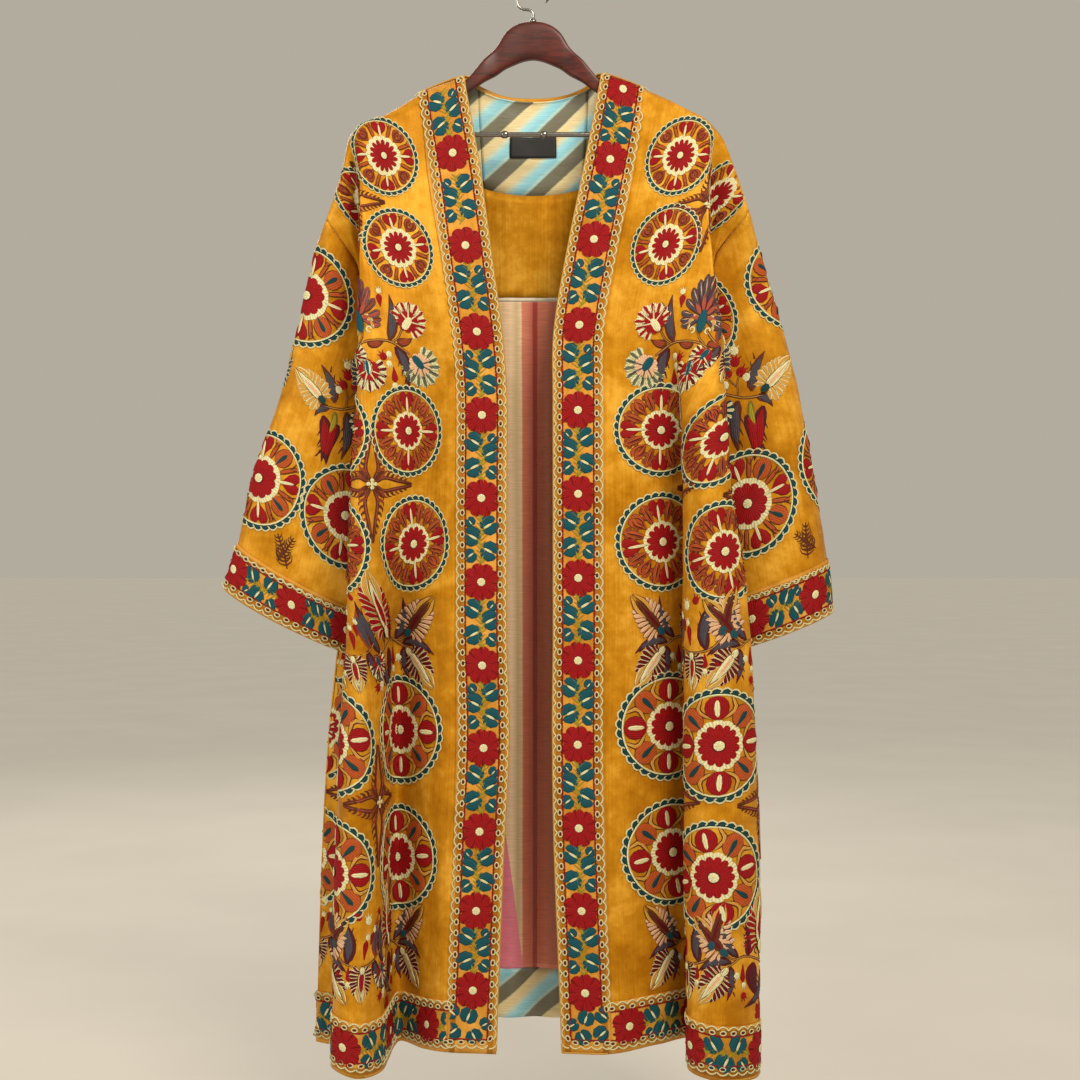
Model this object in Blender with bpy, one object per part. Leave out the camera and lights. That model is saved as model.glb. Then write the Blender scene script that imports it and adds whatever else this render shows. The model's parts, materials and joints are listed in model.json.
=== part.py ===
"""An embroidered chapan robe hanging open on a contoured wooden hanger.

Units are metres in the scene; every size below is in millimetres and goes
through mm(). The origin is the inside top of the hook, where a rod carries it.
+X is to the right of someone who faces the robe, -Y is its front, +Z is up.

Each cloth panel is a loft: fold lines run down the cloth, stations run across
it, and the wall between its outer and inner faces is WALL thick. Bands,
borders, cuffs and linings are made from the points of the panel they lie on.
"""
import math

import bmesh
import bpy
from mathutils import Vector

# ---------------------------------------------------------------- sizes, mm
WALL = 2.0            # velvet shell with its lining
TRIM = 1.2            # embroidered bands, borders and cuffs
LINING = 1.0          # facings and lining pieces
SEAM_GAP = 0.4        # between two pieces at a seam
LAY_GAP = 0.35        # between a piece and the panel that it lies on
SHOULDER_ROLL = 15.0  # how far the cloth rolls over the hanger, forward and down
SIDE_ROLL = 6.0       # the same at the end of the shoulder, where the sleeve starts

# Stations down the robe. "level" is the height of the front at that station.
# "settled" says how far the section has turned from the sloping shoulder line
# into a level one.
STATIONS = [
    # name,       level, settled, rows up to the next station
    ("shoulder",      0, 0.00, 3),
    ("crest",         0, 0.00, 3),
    ("chest",      -238, 0.32, 2),
    ("armhole",    -340, 0.67, 2),
    ("bust",       -436, 1.00, 1),
    ("underarm",   -517, 1.00, 1),
    ("waist",      -613, 1.00, 1),
    ("elbow",      -708, 1.00, 1),
    ("hip",        -802, 1.00, 1),
    ("thigh",      -920, 1.00, 1),
    ("knee",      -1050, 1.00, 2),
    ("border",    -1228, 1.00, 1),
    ("hem",       -1289, 1.00, 0),
]
UNDERARM = 5          # index of the station where the armhole closes
BORDER = 11           # index of the station where the hem border starts

# Fold lines of the left front, from the opening edge round to the side seam.
# "top" is the height of the line on the shoulder, "drop" how much lower than
# the level its hem hangs; "across" and "depth" give its place at each station.
LEFT_FRONT = [
    dict(name="opening", top=-126, drop=-1,
         across=(-83, -81, -64, -50, -37, -31, -31, -31, -31, -28, -34, -41, -43),
         depth=(-6, -20, -27, -36, -42, -45, -48, -50, -52, -54, -56, -59, -60)),
    dict(name="band", top=-149, drop=-4,
         across=(-136, -133, -125, -109, -95, -91, -91, -91, -91, -90, -93, -99, -101),
         depth=(-16, -30, -38, -47, -52, -54, -56, -57, -58, -58, -60, -61, -62)),
    dict(name="panel", top=-165, drop=0,
         across=(-159, -156, -147, -135, -120, -118, -120, -122, -125, -126, -127, -129, -130),
         depth=(-22, -36, -45, -56, -64, -70, -74, -68, -42, -38, -36, -35, -34)),
    dict(name="valley", top=-177, drop=2,
         across=(-178, -175, -168, -159, -148, -147, -150, -154, -163, -164, -166, -165, -164),
         depth=(-28, -42, -51, -64, -78, -88, -94, -78, -24, -8, -4, -2, 0)),
    dict(name="flank", top=-184, drop=13,
         across=(-193, -190, -186, -180, -170, -172, -176, -176, -176, -178, -179, -178, -177),
         depth=(-33, -47, -57, -71, -87, -101, -107, -102, -72, -66, -68, -74, -78)),
    dict(name="crest", top=-188, drop=13,
         across=(-201, -198, -195, -191, -187, -189, -193, -194, -195, -198, -200, -202, -202),
         depth=(-36, -50, -60, -76, -93, -107, -113, -114, -102, -98, -100, -104, -106)),
    dict(name="ridge", top=-193, drop=5,
         across=(-208, -205, -203, -202, -202, -203, -209, -212, -216, -223, -227, -231, -232),
         depth=(-38, -51, -60, -76, -86, -96, -100, -100, -92, -84, -84, -87, -88)),
    dict(name="tuck", top=-207, drop=3,
         across=(-219, -217, -206, -197, -198, -195, -196, -199, -204, -218, -228, -231, -232),
         depth=(-36, -44, -22, -16, -44, -52, -58, -58, -50, -38, -34, -34, -34)),
    dict(name="inner", top=-252, drop=8,
         across=(-230, -229, -217, -204, -196, -185, -175, -172, -176, -210, -229, -237, -238),
         depth=(-30, -34, -20, -10, -14, -14, 4, 8, 6, 2, 2, 2, 2)),
    dict(name="side", top=-302, drop=8,
         across=(-248, -243, -214, -203, -197, -189, -202, -224, -240, -252, -259, -264, -265),
         depth=(-24, -26, -10, -5, -2, 4, 32, 36, 34, 28, 24, 20, 20)),
]

# The right front differs: its cloth falls in one crisp fold below the bust.
RIGHT_FRONT = [
    dict(name="opening", top=-123, drop=-2,
         across=(83, 80, 62, 41, 25, 24, 24, 24, 24, 23, 25, 32, 34),
         depth=(-6, -20, -27, -36, -42, -45, -48, -50, -52, -54, -56, -59, -60)),
    dict(name="band", top=-143, drop=-2,
         across=(133, 131, 120, 100, 84, 84, 84, 84, 83, 83, 86, 91, 93),
         depth=(-16, -30, -38, -47, -52, -54, -56, -57, -58, -58, -60, -61, -62)),
    dict(name="panel", top=-154, drop=-6,
         across=(156, 154, 145, 133, 120, 126, 132, 134, 133, 134, 137, 143, 145),
         depth=(-22, -36, -45, -55, -62, -58, -52, -48, -46, -44, -42, -41, -40)),
    dict(name="valley", top=-165, drop=-4,
         across=(176, 173, 168, 160, 151, 173, 188, 191, 192, 194, 196, 199, 200),
         depth=(-27, -41, -51, -63, -70, -58, -28, -20, -16, -12, -8, -4, -2)),
    dict(name="flank", top=-174, drop=8,
         across=(191, 187, 185, 182, 176, 173, 175, 175, 175, 177, 177, 180, 181),
         depth=(-31, -45, -55, -69, -82, -84, -80, -76, -74, -74, -76, -82, -84)),
    dict(name="crest", top=-181, drop=14,
         across=(203, 199, 197, 198, 198, 197, 199, 203, 208, 212, 213, 214, 215),
         depth=(-34, -47, -58, -74, -90, -106, -110, -110, -108, -106, -108, -112, -114)),
    dict(name="ridge", top=-192, drop=17,
         across=(214, 208, 206, 210, 218, 222, 228, 243, 253, 257, 261, 260, 259),
         depth=(-38, -50, -60, -76, -86, -96, -98, -92, -86, -82, -82, -86, -88)),
    dict(name="tuck", top=-208, drop=13,
         across=(226, 217, 211, 206, 207, 207, 213, 224, 239, 254, 261, 262, 261),
         depth=(-38, -40, -22, -16, -46, -54, -62, -68, -58, -44, -40, -40, -40)),
    dict(name="inner", top=-240, drop=8,
         across=(240, 237, 224, 211, 204, 197, 196, 199, 211, 238, 255, 261, 261),
         depth=(-32, -34, -22, -10, -12, -14, -4, -6, -6, 0, 2, 4, 4)),
    dict(name="side", top=-291, drop=5,
         across=(259, 255, 220, 212, 207, 200, 201, 205, 219, 239, 251, 258, 259),
         depth=(-24, -26, -10, -5, -2, 4, 14, 16, 18, 22, 24, 26, 26)),
]
FRONT_STEPS = 2       # wall segments from one fold line to the next

# The armhole edge of the back stands this far behind that of the front.
ARMHOLE_OPEN = (0, 8, 16, 17, 18, 0)

# The back hangs from the same shoulder line. "share" is a line's place between
# the centre (0) and the side seam (1); "wave" is its place in the back's folds.
BACK_FOLDS = [
    dict(name="side", share=1.00, wave=0.00),
    dict(name="inner", share=0.97, wave=0.30),
    dict(name="tuck", share=0.93, wave=0.64),
    dict(name="ridge", share=0.84, wave=0.55),
    dict(name="crest", share=0.76, wave=0.10),
    dict(name="flank", share=0.68, wave=-0.34),
    dict(name="valley", share=0.58, wave=-0.30),
    dict(name="panel", share=0.48, wave=0.10),
    dict(name="band", share=0.38, wave=0.34),
    dict(name="opening", share=0.26, wave=0.16),
]
BACK_DEPTH = (0, 0, 34, 36, 38, 40, 42, 44, 46, 48, 50, 53, 54)   # at each station
BACK_WAVE = (0, 0, 6, 14, 22, 30, 36, 40, 43, 45, 47, 49, 50)       # height of its folds
BACK_SPREAD = (0, 0, 0.3, 0.6, 0.85, 1, 1, 1, 1, 1, 1, 1, 1)        # from shoulder to share
BACK_CENTRE = (0, 0, -261, -386, -452, -526, -618, -710, -802, -918, -1046, -1214, -1275)

# Fold lines that start on the back neck: place at the neckline and at the crest.
NECK_FOLDS = [
    dict(name="collar", share=0.20, wave=0.04, across=67, depth=(9, 17), height=(-134, -154)),
    dict(name="nape", share=0.11, wave=-0.12, across=38, depth=(20, 25), height=(-143, -161)),
    dict(name="centre", share=0.00, wave=0.00, across=0, depth=(24, 30), height=(-146, -163)),
]
NECK_BAND = 57.0      # width of the band round the back of the neck
NECK_END = 14.0       # its width where it meets the front bands on the shoulders
NECK_ROWS = (0, 0.08, 0.17, 0.28, 0.45, 0.7, 1)   # rows down that band
NECK_STEPS = 4        # its columns for each one of the back
NECK_LIFT = 2.2       # it bridges the small facets of the back
LINED_FROM = "collar"   # the lining of the back reaches from this fold line to its twin
SHOULDER_GAP = 0.5    # extra room between front and back along the shoulder
BACK_MARGIN = 6.0     # least distance between the outer fold lines of the upper back
PIPING = 5.0          # height of the piping between yoke and lining

# Sleeves: each row is a ring, its outer and inner end, its middle depth and
# half its thickness, and how far its front hangs below a straight line.
LEFT_SLEEVE = [
    # outer x, z,   inner x, z,    depth, half, droop
    (-262, -331, -197, -556, -6, 15, 0),
    (-279, -408, -198, -612, -6, 19, 0),
    (-298, -486, -199, -665, -6, 21, 2),
    (-317, -545, -201, -706, -6, 22, 4),
    (-338, -604, -203, -744, -6, 22, 6),
    (-356, -687, -205, -768, -6, 20, 8),
    (-373, -741, -208, -822, -6, 18, 10),
]
RIGHT_SLEEVE = [
    (270, -320, 208, -546, -6, 16, 0),
    (283, -368, 210, -596, -6, 21, 0),
    (300, -426, 214, -642, -6, 25, 0),
    (318, -491, 219, -684, -5, 29, 0),
    (331, -560, 224, -714, -4, 33, 0),
    (343, -632, 229, -738, -4, 36, 0),
    (355, -706, 232, -755, -4, 38, 2),
    (361, -770, 235, -818, -4, 38, 3),
]

# Hanger. Each row is a section of the wooden arm: how far from the centre, the
# top and bottom of the wood, and half its thickness. "sweep" carries it forward.
ARM = [
    # out,  top, bottom, sweep, half
    (0, -57, -103, 0, 8.5),
    (12, -58, -105, 0, 8.5),
    (24, -63, -110, -1, 8.0),
    (34, -72, -115, -2, 7.5),
    (45, -90, -123, -3, 7.0),
    (60, -105, -132, -7, 6.0),
    (83, -132, -149, -9, 5.0),
    (110, -146, -164, -11, 5.5),
    (136, -157, -175, -16, 5.5),
    (160, -173, -189, -22, 5.2),
    (184, -190, -204, -30, 4.8),
    (196, -200, -210, -34, 3.8),
]
ARM_CORNER = 0.35     # rounding of the arm's section, as a share of its thickness
BAR_RADIUS = 3.0
BAR_HALF = 148.0      # half of the trouser bar's length
BAR_Z = -198.0
BAR_DEPTH = -20.0
BAR_BEND = 8.0
HOOK_WIRE = 1.7
HOOK_INSIDE = 19.0    # inside radius of the hook, over a rod
FERRULE_RADIUS = 4.2
FERRULE_HEIGHT = 4.0
LABEL_SIZE = (58.0, 23.0)
LABEL_TOP = -194.0
LABEL_STEPS = 4
LABEL_LIFT = 0.5      # the label bridges the facets of the facing
SLEEVE_STEPS = 2      # rows between two rings near the armhole
ARMHOLE_GAP = 1.2     # the sleeve's own share of the gap counts double here
CREASE = 0.3          # cosine below which sleeve and panel lie face to face


def mm(value):
    """Millimetres to metres, for a number or a vector."""
    return value * 0.001


def reset():
    """Empty the scene and give the robe its own collection."""
    for thing in list(bpy.data.objects):
        bpy.data.objects.remove(thing, do_unlink=True)
    robe = bpy.data.collections.new("chapan_robe")
    bpy.context.scene.collection.children.link(robe)
    return robe


def material(name, colour, roughness, metallic=0.0):
    """A Principled BSDF with one colour, for the solids alone."""
    finish = bpy.data.materials.new(name)
    finish.use_nodes = True
    shader = finish.node_tree.nodes["Principled BSDF"]
    shader.inputs["Base Color"].default_value = (*colour, 1.0)
    shader.inputs["Roughness"].default_value = roughness
    shader.inputs["Metallic"].default_value = metallic
    return finish


def add_object(name, mesh, finish):
    """Link a finished mesh as one node of the robe."""
    mesh.materials.append(finish)
    mesh.shade_smooth()
    mesh.set_sharp_from_angle(angle=math.radians(50))
    thing = bpy.data.objects.new(name, mesh)
    ROBE.objects.link(thing)
    return thing


# ------------------------------------------------------------ smooth curves
def through(points, at):
    """A point of the smooth curve through points, at a whole or part index."""
    last = len(points) - 1
    index = min(int(at), last - 1)
    part = at - index
    before = points[max(index - 1, 0)]
    start = points[index]
    end = points[index + 1]
    after = points[min(index + 2, last)]
    leave = (end - before) * (0.5 if index > 0 else 1.0)
    arrive = (after - start) * (0.5 if index + 2 <= last else 1.0)
    reach = (end - start).length
    leave = leave.normalized() * min(leave.length, reach)
    arrive = arrive.normalized() * min(arrive.length, reach)
    square = part * part
    cube = square * part
    return (start * (2 * cube - 3 * square + 1) + leave * (cube - 2 * square + part)
            + end * (3 * square - 2 * cube) + arrive * (cube - square))


def steps(counts):
    """Part indices with counts[i] equal steps between index i and i + 1."""
    places = [index + step / count for index, count in enumerate(counts) for step in range(count)]
    return places + [float(len(counts))]


ROW_PLACES = steps([row[3] for row in STATIONS[:-1]])
UNDERARM_ROW = ROW_PLACES.index(float(UNDERARM))
BORDER_ROW = ROW_PLACES.index(float(BORDER))


# ------------------------------------------------------------ fronts
def front_line(fold):
    """The point of a fold line at each station."""
    over = fold["top"] - (SIDE_ROLL if fold["name"] == "side" else SHOULDER_ROLL)
    points = []
    for index, (station, level, settled, _) in enumerate(STATIONS):
        if station == "shoulder":
            height = fold["top"]
        elif settled < 1:
            height = over + settled * (STATIONS[UNDERARM - 1][1] - over)
        else:
            hang = fold["drop"] * max(0.0, (index - UNDERARM) / (len(STATIONS) - 1 - UNDERARM))
            height = level - hang
        points.append(Vector((fold["across"][index], fold["depth"][index], height)))
    return points


def down_line(points, at):
    """A point of a fold line; above the crest it rolls over the hanger."""
    if at >= 1:
        return through(points, at)
    turn = at * math.pi / 2
    fall = points[1] - points[0]
    return points[0] + Vector((fall.x * at, fall.y * math.sin(turn), fall.z * (1 - math.cos(turn))))


def loft(lines, column_places, row_places):
    """A grid of points: a smooth surface through fold lines, row by row."""
    grid = []
    for row in row_places:
        section = [down_line(line, row) for line in lines]
        grid.append([through(section, column) for column in column_places])
    return grid


def front_grid(folds):
    """The outer face of a front panel, opening edge first."""
    lines = [front_line(fold) for fold in folds]
    columns = steps([FRONT_STEPS] * (len(folds) - 1))
    return loft(lines, columns, ROW_PLACES)


# ------------------------------------------------------------ back
def back_line(fold, front, side, order):
    """A fold line of the back, from the front's line of the same name."""
    points = []
    for index in range(len(STATIONS)):
        edge = side[index]
        if fold["name"] == "side":
            open_by = ARMHOLE_OPEN[index] if index < len(ARMHOLE_OPEN) else 0
            points.append(edge + Vector((0, open_by, 0)))
            continue
        start = front[1]
        if index < 2:
            behind = index * SHOULDER_ROLL + (1 - index) * SHOULDER_GAP
            points.append(Vector((front[index].x, front[0].y + behind, front[index].z)))
            continue
        share = fold["share"]
        edge_y = edge.y + (ARMHOLE_OPEN[index] if index < len(ARMHOLE_OPEN) else 0)
        across = start.x + (edge.x * share - start.x) * BACK_SPREAD[index]
        room = abs(edge.x) - BACK_MARGIN * (order + 1)
        across = math.copysign(min(abs(across), room), edge.x)
        base = edge_y + (BACK_DEPTH[index] - edge_y) * (1 - share ** 6)
        height = edge.z + (BACK_CENTRE[index] - edge.z) * (1 - share ** 2)
        points.append(Vector((across, base + fold["wave"] * BACK_WAVE[index], height)))
    return points


def neck_line(fold, side, sign):
    """A fold line that starts on the back neck instead of the shoulder."""
    across = sign * fold["across"]
    points = [Vector((across, fold["depth"][index], fold["height"][index])) for index in (0, 1)]
    for index in range(2, len(STATIONS)):
        share = fold["share"]
        height = BACK_CENTRE[index] + (side[index].z - BACK_CENTRE[index]) * share ** 2
        x = across + (side[index].x * share - across) * BACK_SPREAD[index]
        points.append(Vector((x, BACK_DEPTH[index] + fold["wave"] * BACK_WAVE[index], height)))
    return points


def back_grid(left_folds, right_folds):
    """The outer face of the back, left side seam first, and its line names."""
    halves = []
    for folds, sign in ((left_folds, -1), (right_folds, 1)):
        fronts = {fold["name"]: front_line(fold) for fold in folds}
        side = fronts["side"]
        lines = [back_line(fold, fronts[fold["name"]], side, order)
                 for order, fold in enumerate(BACK_FOLDS)]
        lines += [neck_line(fold, side, sign) for fold in NECK_FOLDS]
        halves.append(lines)
    names = [fold["name"] for fold in BACK_FOLDS + NECK_FOLDS]
    lines = halves[0] + halves[1][-2::-1]
    return loft(lines, [float(i) for i in range(len(lines))], ROW_PLACES), names


# ------------------------------------------------------------ sleeves
def sleeve_ring(row, count):
    """One ring of a sleeve: outer end, front, inner end, back."""
    outer = Vector((row[0], row[4], row[1]))
    inner = Vector((row[2], row[4], row[3]))
    middle = (outer + inner) / 2
    reach = (outer - inner) / 2
    ring = []
    for index in range(count):
        turn = 2 * math.pi * index / count
        depth = math.sin(turn)
        point = middle + reach * math.cos(turn) + Vector((0, -row[5] * depth, 0))
        point.z -= row[6] * max(0.0, depth)
        ring.append(point)
    return ring


def sleeve_grid(front, back, back_column, rows):
    """Rings from the armhole to the cuff; the first one is the armhole seam."""
    seam = [front[row][-1].copy() for row in range(UNDERARM_ROW + 1)]
    seam += [back[row][back_column].copy() for row in range(UNDERARM_ROW - 1, 0, -1)]
    count = len(seam)
    rings = [seam] + [sleeve_ring(row, count) for row in rows]
    gaps = [SLEEVE_STEPS, SLEEVE_STEPS] + [1] * (len(rows) - 2)
    grid = []
    for place in steps(gaps):
        grid.append([through([ring[index] for ring in rings], place) for index in range(count)])
    return grid


# ------------------------------------------------------------ walls
def face_normals(grid, closed, flip):
    """A unit normal at each point of a grid, from its neighbours."""
    rows, columns = len(grid), len(grid[0])
    normals = []
    for r in range(rows):
        line = []
        for c in range(columns):
            if closed:
                across = grid[r][(c + 1) % columns] - grid[r][c - 1]
            else:
                across = grid[r][min(c + 1, columns - 1)] - grid[r][max(c - 1, 0)]
            down = grid[min(r + 1, rows - 1)][c] - grid[max(r - 1, 0)][c]
            normal = across.cross(down).normalized()
            line.append(-normal if flip else normal)
        normals.append(line)
    return normals


def share_normals(groups, grids, normals):
    """Give the points that meet at a seam one common normal.

    Where a sleeve folds back on its panel the two walls lie face to face, so
    they keep their own normals and draw apart by the seam gap instead.
    """
    for group in groups:
        sleeves = [place for place in group if place[0].startswith("sleeve")]
        panels = [place for place in group if not place[0].startswith("sleeve")]
        total = Vector((0, 0, 0))
        for panel, row, column in panels:
            total += normals[panel][row][column]
        total.normalize()
        sets = [group]
        if sleeves:
            panel, row, column = sleeves[0]
            if total.dot(normals[panel][row][column]) < CREASE:
                sets = [panels, sleeves]
            else:
                total = (total + normals[panel][row][column]).normalized()
        for places in sets:
            common = total
            if len(sets) == 2 and places is sleeves:
                common = normals[sleeves[0][0]][sleeves[0][1]][sleeves[0][2]]
            for panel, row, column in places:
                normals[panel][row][column] = common.copy()
                if len(sets) == 2:
                    grids[panel][row][column] = grids[panel][row][column] - common * SEAM_GAP


def pulled(grid, seams, gap=SEAM_GAP):
    """The grid with its seam edges drawn back by half the seam gap."""
    result = [[point.copy() for point in line] for line in grid]
    rows, columns = len(grid), len(grid[0])
    neighbours = {"top": (0, 1), "bottom": (rows - 1, rows - 2)}
    for name in seams:
        if name in neighbours:
            edge, inside = neighbours[name]
            for c in range(columns):
                inward = (grid[inside][c] - grid[edge][c]).normalized()
                result[edge][c] = result[edge][c] + inward * gap / 2
        else:
            edge, inside = (0, 1) if name == "start" else (columns - 1, columns - 2)
            for r in range(rows):
                inward = (grid[r][inside] - grid[r][edge]).normalized()
                result[r][edge] = result[r][edge] + inward * gap / 2
    return result


def wall_mesh(name, outer, inner, closed=False):
    """A closed solid between two grids of the same shape."""
    rows, columns = len(outer), len(outer[0])
    mesh = bpy.data.meshes.new(name)
    work = bmesh.new()
    faces = []
    skins = []
    for grid in (outer, inner):
        skins.append([[work.verts.new(mm(point)) for point in line] for line in grid])
    spans = columns if closed else columns - 1
    for r in range(rows - 1):
        for c in range(spans):
            n = (c + 1) % columns
            for skin, turn in ((skins[0], 1), (skins[1], -1)):
                corners = [skin[r][c], skin[r][n], skin[r + 1][n], skin[r + 1][c]]
                faces.append(corners[::turn])
    for c in range(spans):
        n = (c + 1) % columns
        for r, turn in ((0, 1), (rows - 1, -1)):
            faces.append([skins[1][r][c], skins[1][r][n], skins[0][r][n], skins[0][r][c]][::turn])
    if not closed:
        for r in range(rows - 1):
            for c, turn in ((0, 1), (columns - 1, -1)):
                faces.append([skins[0][r][c], skins[0][r + 1][c],
                              skins[1][r + 1][c], skins[1][r][c]][::turn])
    for corners in faces:
        work.faces.new(corners)
    bmesh.ops.triangulate(work, faces=work.faces)
    bmesh.ops.recalc_face_normals(work, faces=work.faces)
    work.to_mesh(mesh)
    work.free()
    return mesh


def offset(grid, normals, distance):
    """Every point moved along its normal."""
    return [[point + normal * distance for point, normal in zip(line, ups)]
            for line, ups in zip(grid, normals)]


def panel_wall(name, key, seams, finish, closed=False, gap=SEAM_GAP):
    """The wall of a panel: outer face as lofted, inner face WALL inside it."""
    outer = pulled(GRIDS[key], seams, gap)
    inner = offset(outer, NORMALS[key], -WALL)
    return add_object(name, wall_mesh(name, outer, inner, closed), finish)


def cut(grid, rows, columns):
    """Part of a grid: rows and columns are (first, last), both kept."""
    return [line[columns[0]:columns[1] + 1] for line in grid[rows[0]:rows[1] + 1]]


def laid_piece(name, key, rows, columns, seams, finish, near, thick, closed=False):
    """A piece made from a panel's own points, from near to near + thick off it."""
    base = pulled(cut(GRIDS[key], rows, columns), seams)
    ups = cut(NORMALS[key], rows, columns)
    low = offset(base, ups, near)
    high = offset(base, ups, near + thick)
    return add_object(name, wall_mesh(name, high, low, closed), finish)


# ------------------------------------------------------------ neck band
def on_back(column, down):
    """The point and normal of the back at a column, this far down the cloth."""
    grid, ups = GRIDS["back"], NORMALS["back"]
    first = min(int(column), BACK_LAST - 1)
    part = column - first
    line = [row[first].lerp(row[first + 1], part) for row in grid]
    lifts = [row[first].lerp(row[first + 1], part) for row in ups]
    for row in range(len(line) - 1):
        span = (line[row + 1] - line[row]).length
        if down <= span:
            break
        down -= span
    share = down / span
    return line[row].lerp(line[row + 1], share), lifts[row].lerp(lifts[row + 1], share).normalized()


def neck_band(finish):
    """The band round the back neck, rounded off where it meets the front bands."""
    ridge = GRIDS["back"][0]
    neck = (BACK_NAMES.index("opening"), BACK_LAST - BACK_NAMES.index("opening"))
    ends = (BACK_NAMES.index("band"), BACK_LAST - BACK_NAMES.index("band"))
    columns = [ends[0] + step / NECK_STEPS for step in range((ends[1] - ends[0]) * NECK_STEPS + 1)]
    low = [[] for _ in NECK_ROWS]
    high = [[] for _ in NECK_ROWS]
    for column in columns:
        inside = min(max(column, neck[0]), neck[1])
        span = (ridge[ends[0]] - ridge[neck[0]]).length if column < inside else (
            ridge[ends[1]] - ridge[neck[1]]).length
        reach = min(abs(column - inside) * span / NECK_BAND, 1.0)
        height = max(NECK_BAND * math.sqrt(1 - reach ** 2), NECK_END)
        for row, share in enumerate(NECK_ROWS):
            point, up = on_back(column, max(height * share, SEAM_GAP))
            low[row].append(point + up * NECK_LIFT)
            high[row].append(point + up * (NECK_LIFT + TRIM))
    return add_object("band_neck", wall_mesh("band_neck", high, low), finish)


# ------------------------------------------------------------ hanger
def hanger_wood(finish):
    """Contoured arms: rounded sections lofted from tip to tip."""
    sections = [(-out, top, low, sweep, half) for out, top, low, sweep, half in ARM[:0:-1]]
    sections += list(ARM)
    corner = (1 - ARM_CORNER, 1.0)
    rings = []
    for out, top, low, sweep, half in sections:
        middle, tall = (top + low) / 2, (top - low) / 2
        ring = []
        for side_y, side_z in ((-1, 1), (1, 1), (1, -1), (-1, -1)):
            shapes = (corner[::-1], corner) if side_y * side_z < 0 else (corner, corner[::-1])
            for share, full in shapes:
                inset = half * ARM_CORNER
                y = side_y * (half - (inset if share < full else 0))
                z = side_z * (tall - (0 if share < full else inset))
                ring.append(Vector((out, sweep + y, middle + z)))
        rings.append(ring)
    mesh = bpy.data.meshes.new("hanger_wood")
    work = bmesh.new()
    rows = [[work.verts.new(mm(point)) for point in ring] for ring in rings]
    count = len(rows[0])
    for first, second in zip(rows, rows[1:]):
        for index in range(count):
            after = (index + 1) % count
            work.faces.new((first[index], first[after], second[after], second[index]))
    work.faces.new(rows[0])
    work.faces.new(rows[-1])
    bmesh.ops.triangulate(work, faces=work.faces)
    bmesh.ops.recalc_face_normals(work, faces=work.faces)
    work.to_mesh(mesh)
    work.free()
    return add_object("hanger_wood", mesh, finish)


def tube(name, points, radius, finish, resolution=2):
    """A round wire along points, as a mesh with closed ends."""
    curve = bpy.data.curves.new(name, "CURVE")
    curve.dimensions = "3D"
    curve.bevel_depth = mm(radius)
    curve.bevel_resolution = resolution
    curve.use_fill_caps = True
    spline = curve.splines.new("POLY")
    spline.points.add(len(points) - 1)
    for place, point in zip(spline.points, points):
        place.co = (*mm(point), 1.0)
    holder = bpy.data.objects.new(name + "_curve", curve)
    bpy.context.scene.collection.objects.link(holder)
    mesh = bpy.data.meshes.new_from_object(holder.evaluated_get(bpy.context.evaluated_depsgraph_get()))
    bpy.data.objects.remove(holder, do_unlink=True)
    work = bmesh.new()
    work.from_mesh(mesh)
    bmesh.ops.remove_doubles(work, verts=work.verts, dist=0.00001)
    bmesh.ops.triangulate(work, faces=work.faces)
    bmesh.ops.recalc_face_normals(work, faces=work.faces)
    work.to_mesh(mesh)
    work.free()
    mesh.name = name
    return add_object(name, mesh, finish)


def arm_at(out):
    """The wood's bottom height and sweep at a distance from the centre."""
    for first, second in zip(ARM, ARM[1:]):
        if first[0] <= out <= second[0]:
            part = (out - first[0]) / (second[0] - first[0])
            return (first[2] + (second[2] - first[2]) * part,
                    first[3] + (second[3] - first[3]) * part)
    raise ValueError("outside the arm")


def trouser_bar(finish):
    """A straight bar whose ends turn up to the underside of the arms."""
    _, sweep = arm_at(BAR_HALF)
    seat = arm_at(BAR_HALF + BAR_RADIUS)[0] - LAY_GAP
    right = [Vector((BAR_HALF, sweep, seat)), Vector((BAR_HALF, sweep, BAR_Z + BAR_BEND))]
    for turn in (30, 60, 90):
        angle = math.radians(turn)
        right.append(Vector((BAR_HALF - BAR_BEND * (1 - math.cos(angle)),
                             sweep, BAR_Z + BAR_BEND * (1 - math.sin(angle)))))
    left = [Vector((-point.x, point.y, point.z)) for point in right[::-1]]
    return tube("hanger_bar", right + left, BAR_RADIUS, finish)


def hook(finish):
    """Stem, a short offset to the left, then a round hook over the rod."""
    radius = HOOK_INSIDE + HOOK_WIRE
    middle = -HOOK_INSIDE
    points = [Vector((0, 0, ARM[0][1] + FERRULE_HEIGHT + 2 * LAY_GAP)), Vector((0, 0, -47)),
              Vector((-1.5, 0, -44)), Vector((-5, 0, -42.2)), Vector((-12, 0, -41.5)),
              Vector((-17, 0, -38.5)), Vector((-19.5, 0, -33))]
    for turn in range(195, -46, -15):
        angle = math.radians(turn)
        points.append(Vector((radius * math.cos(angle), 0, middle + radius * math.sin(angle))))
    return tube("hanger_hook", points, HOOK_WIRE, finish)


def ferrule(finish):
    """The small collar where the hook enters the wood."""
    mesh = bpy.data.meshes.new("hanger_ferrule")
    work = bmesh.new()
    bmesh.ops.create_cone(work, cap_ends=True, segments=20, radius1=mm(FERRULE_RADIUS),
                          radius2=mm(FERRULE_RADIUS * 0.7), depth=mm(FERRULE_HEIGHT))
    lift = mm(ARM[0][1] + LAY_GAP + FERRULE_HEIGHT / 2)
    bmesh.ops.translate(work, verts=work.verts, vec=(0, 0, lift))
    bmesh.ops.triangulate(work, faces=work.faces)
    work.to_mesh(mesh)
    work.free()
    return add_object("hanger_ferrule", mesh, finish)


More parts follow.
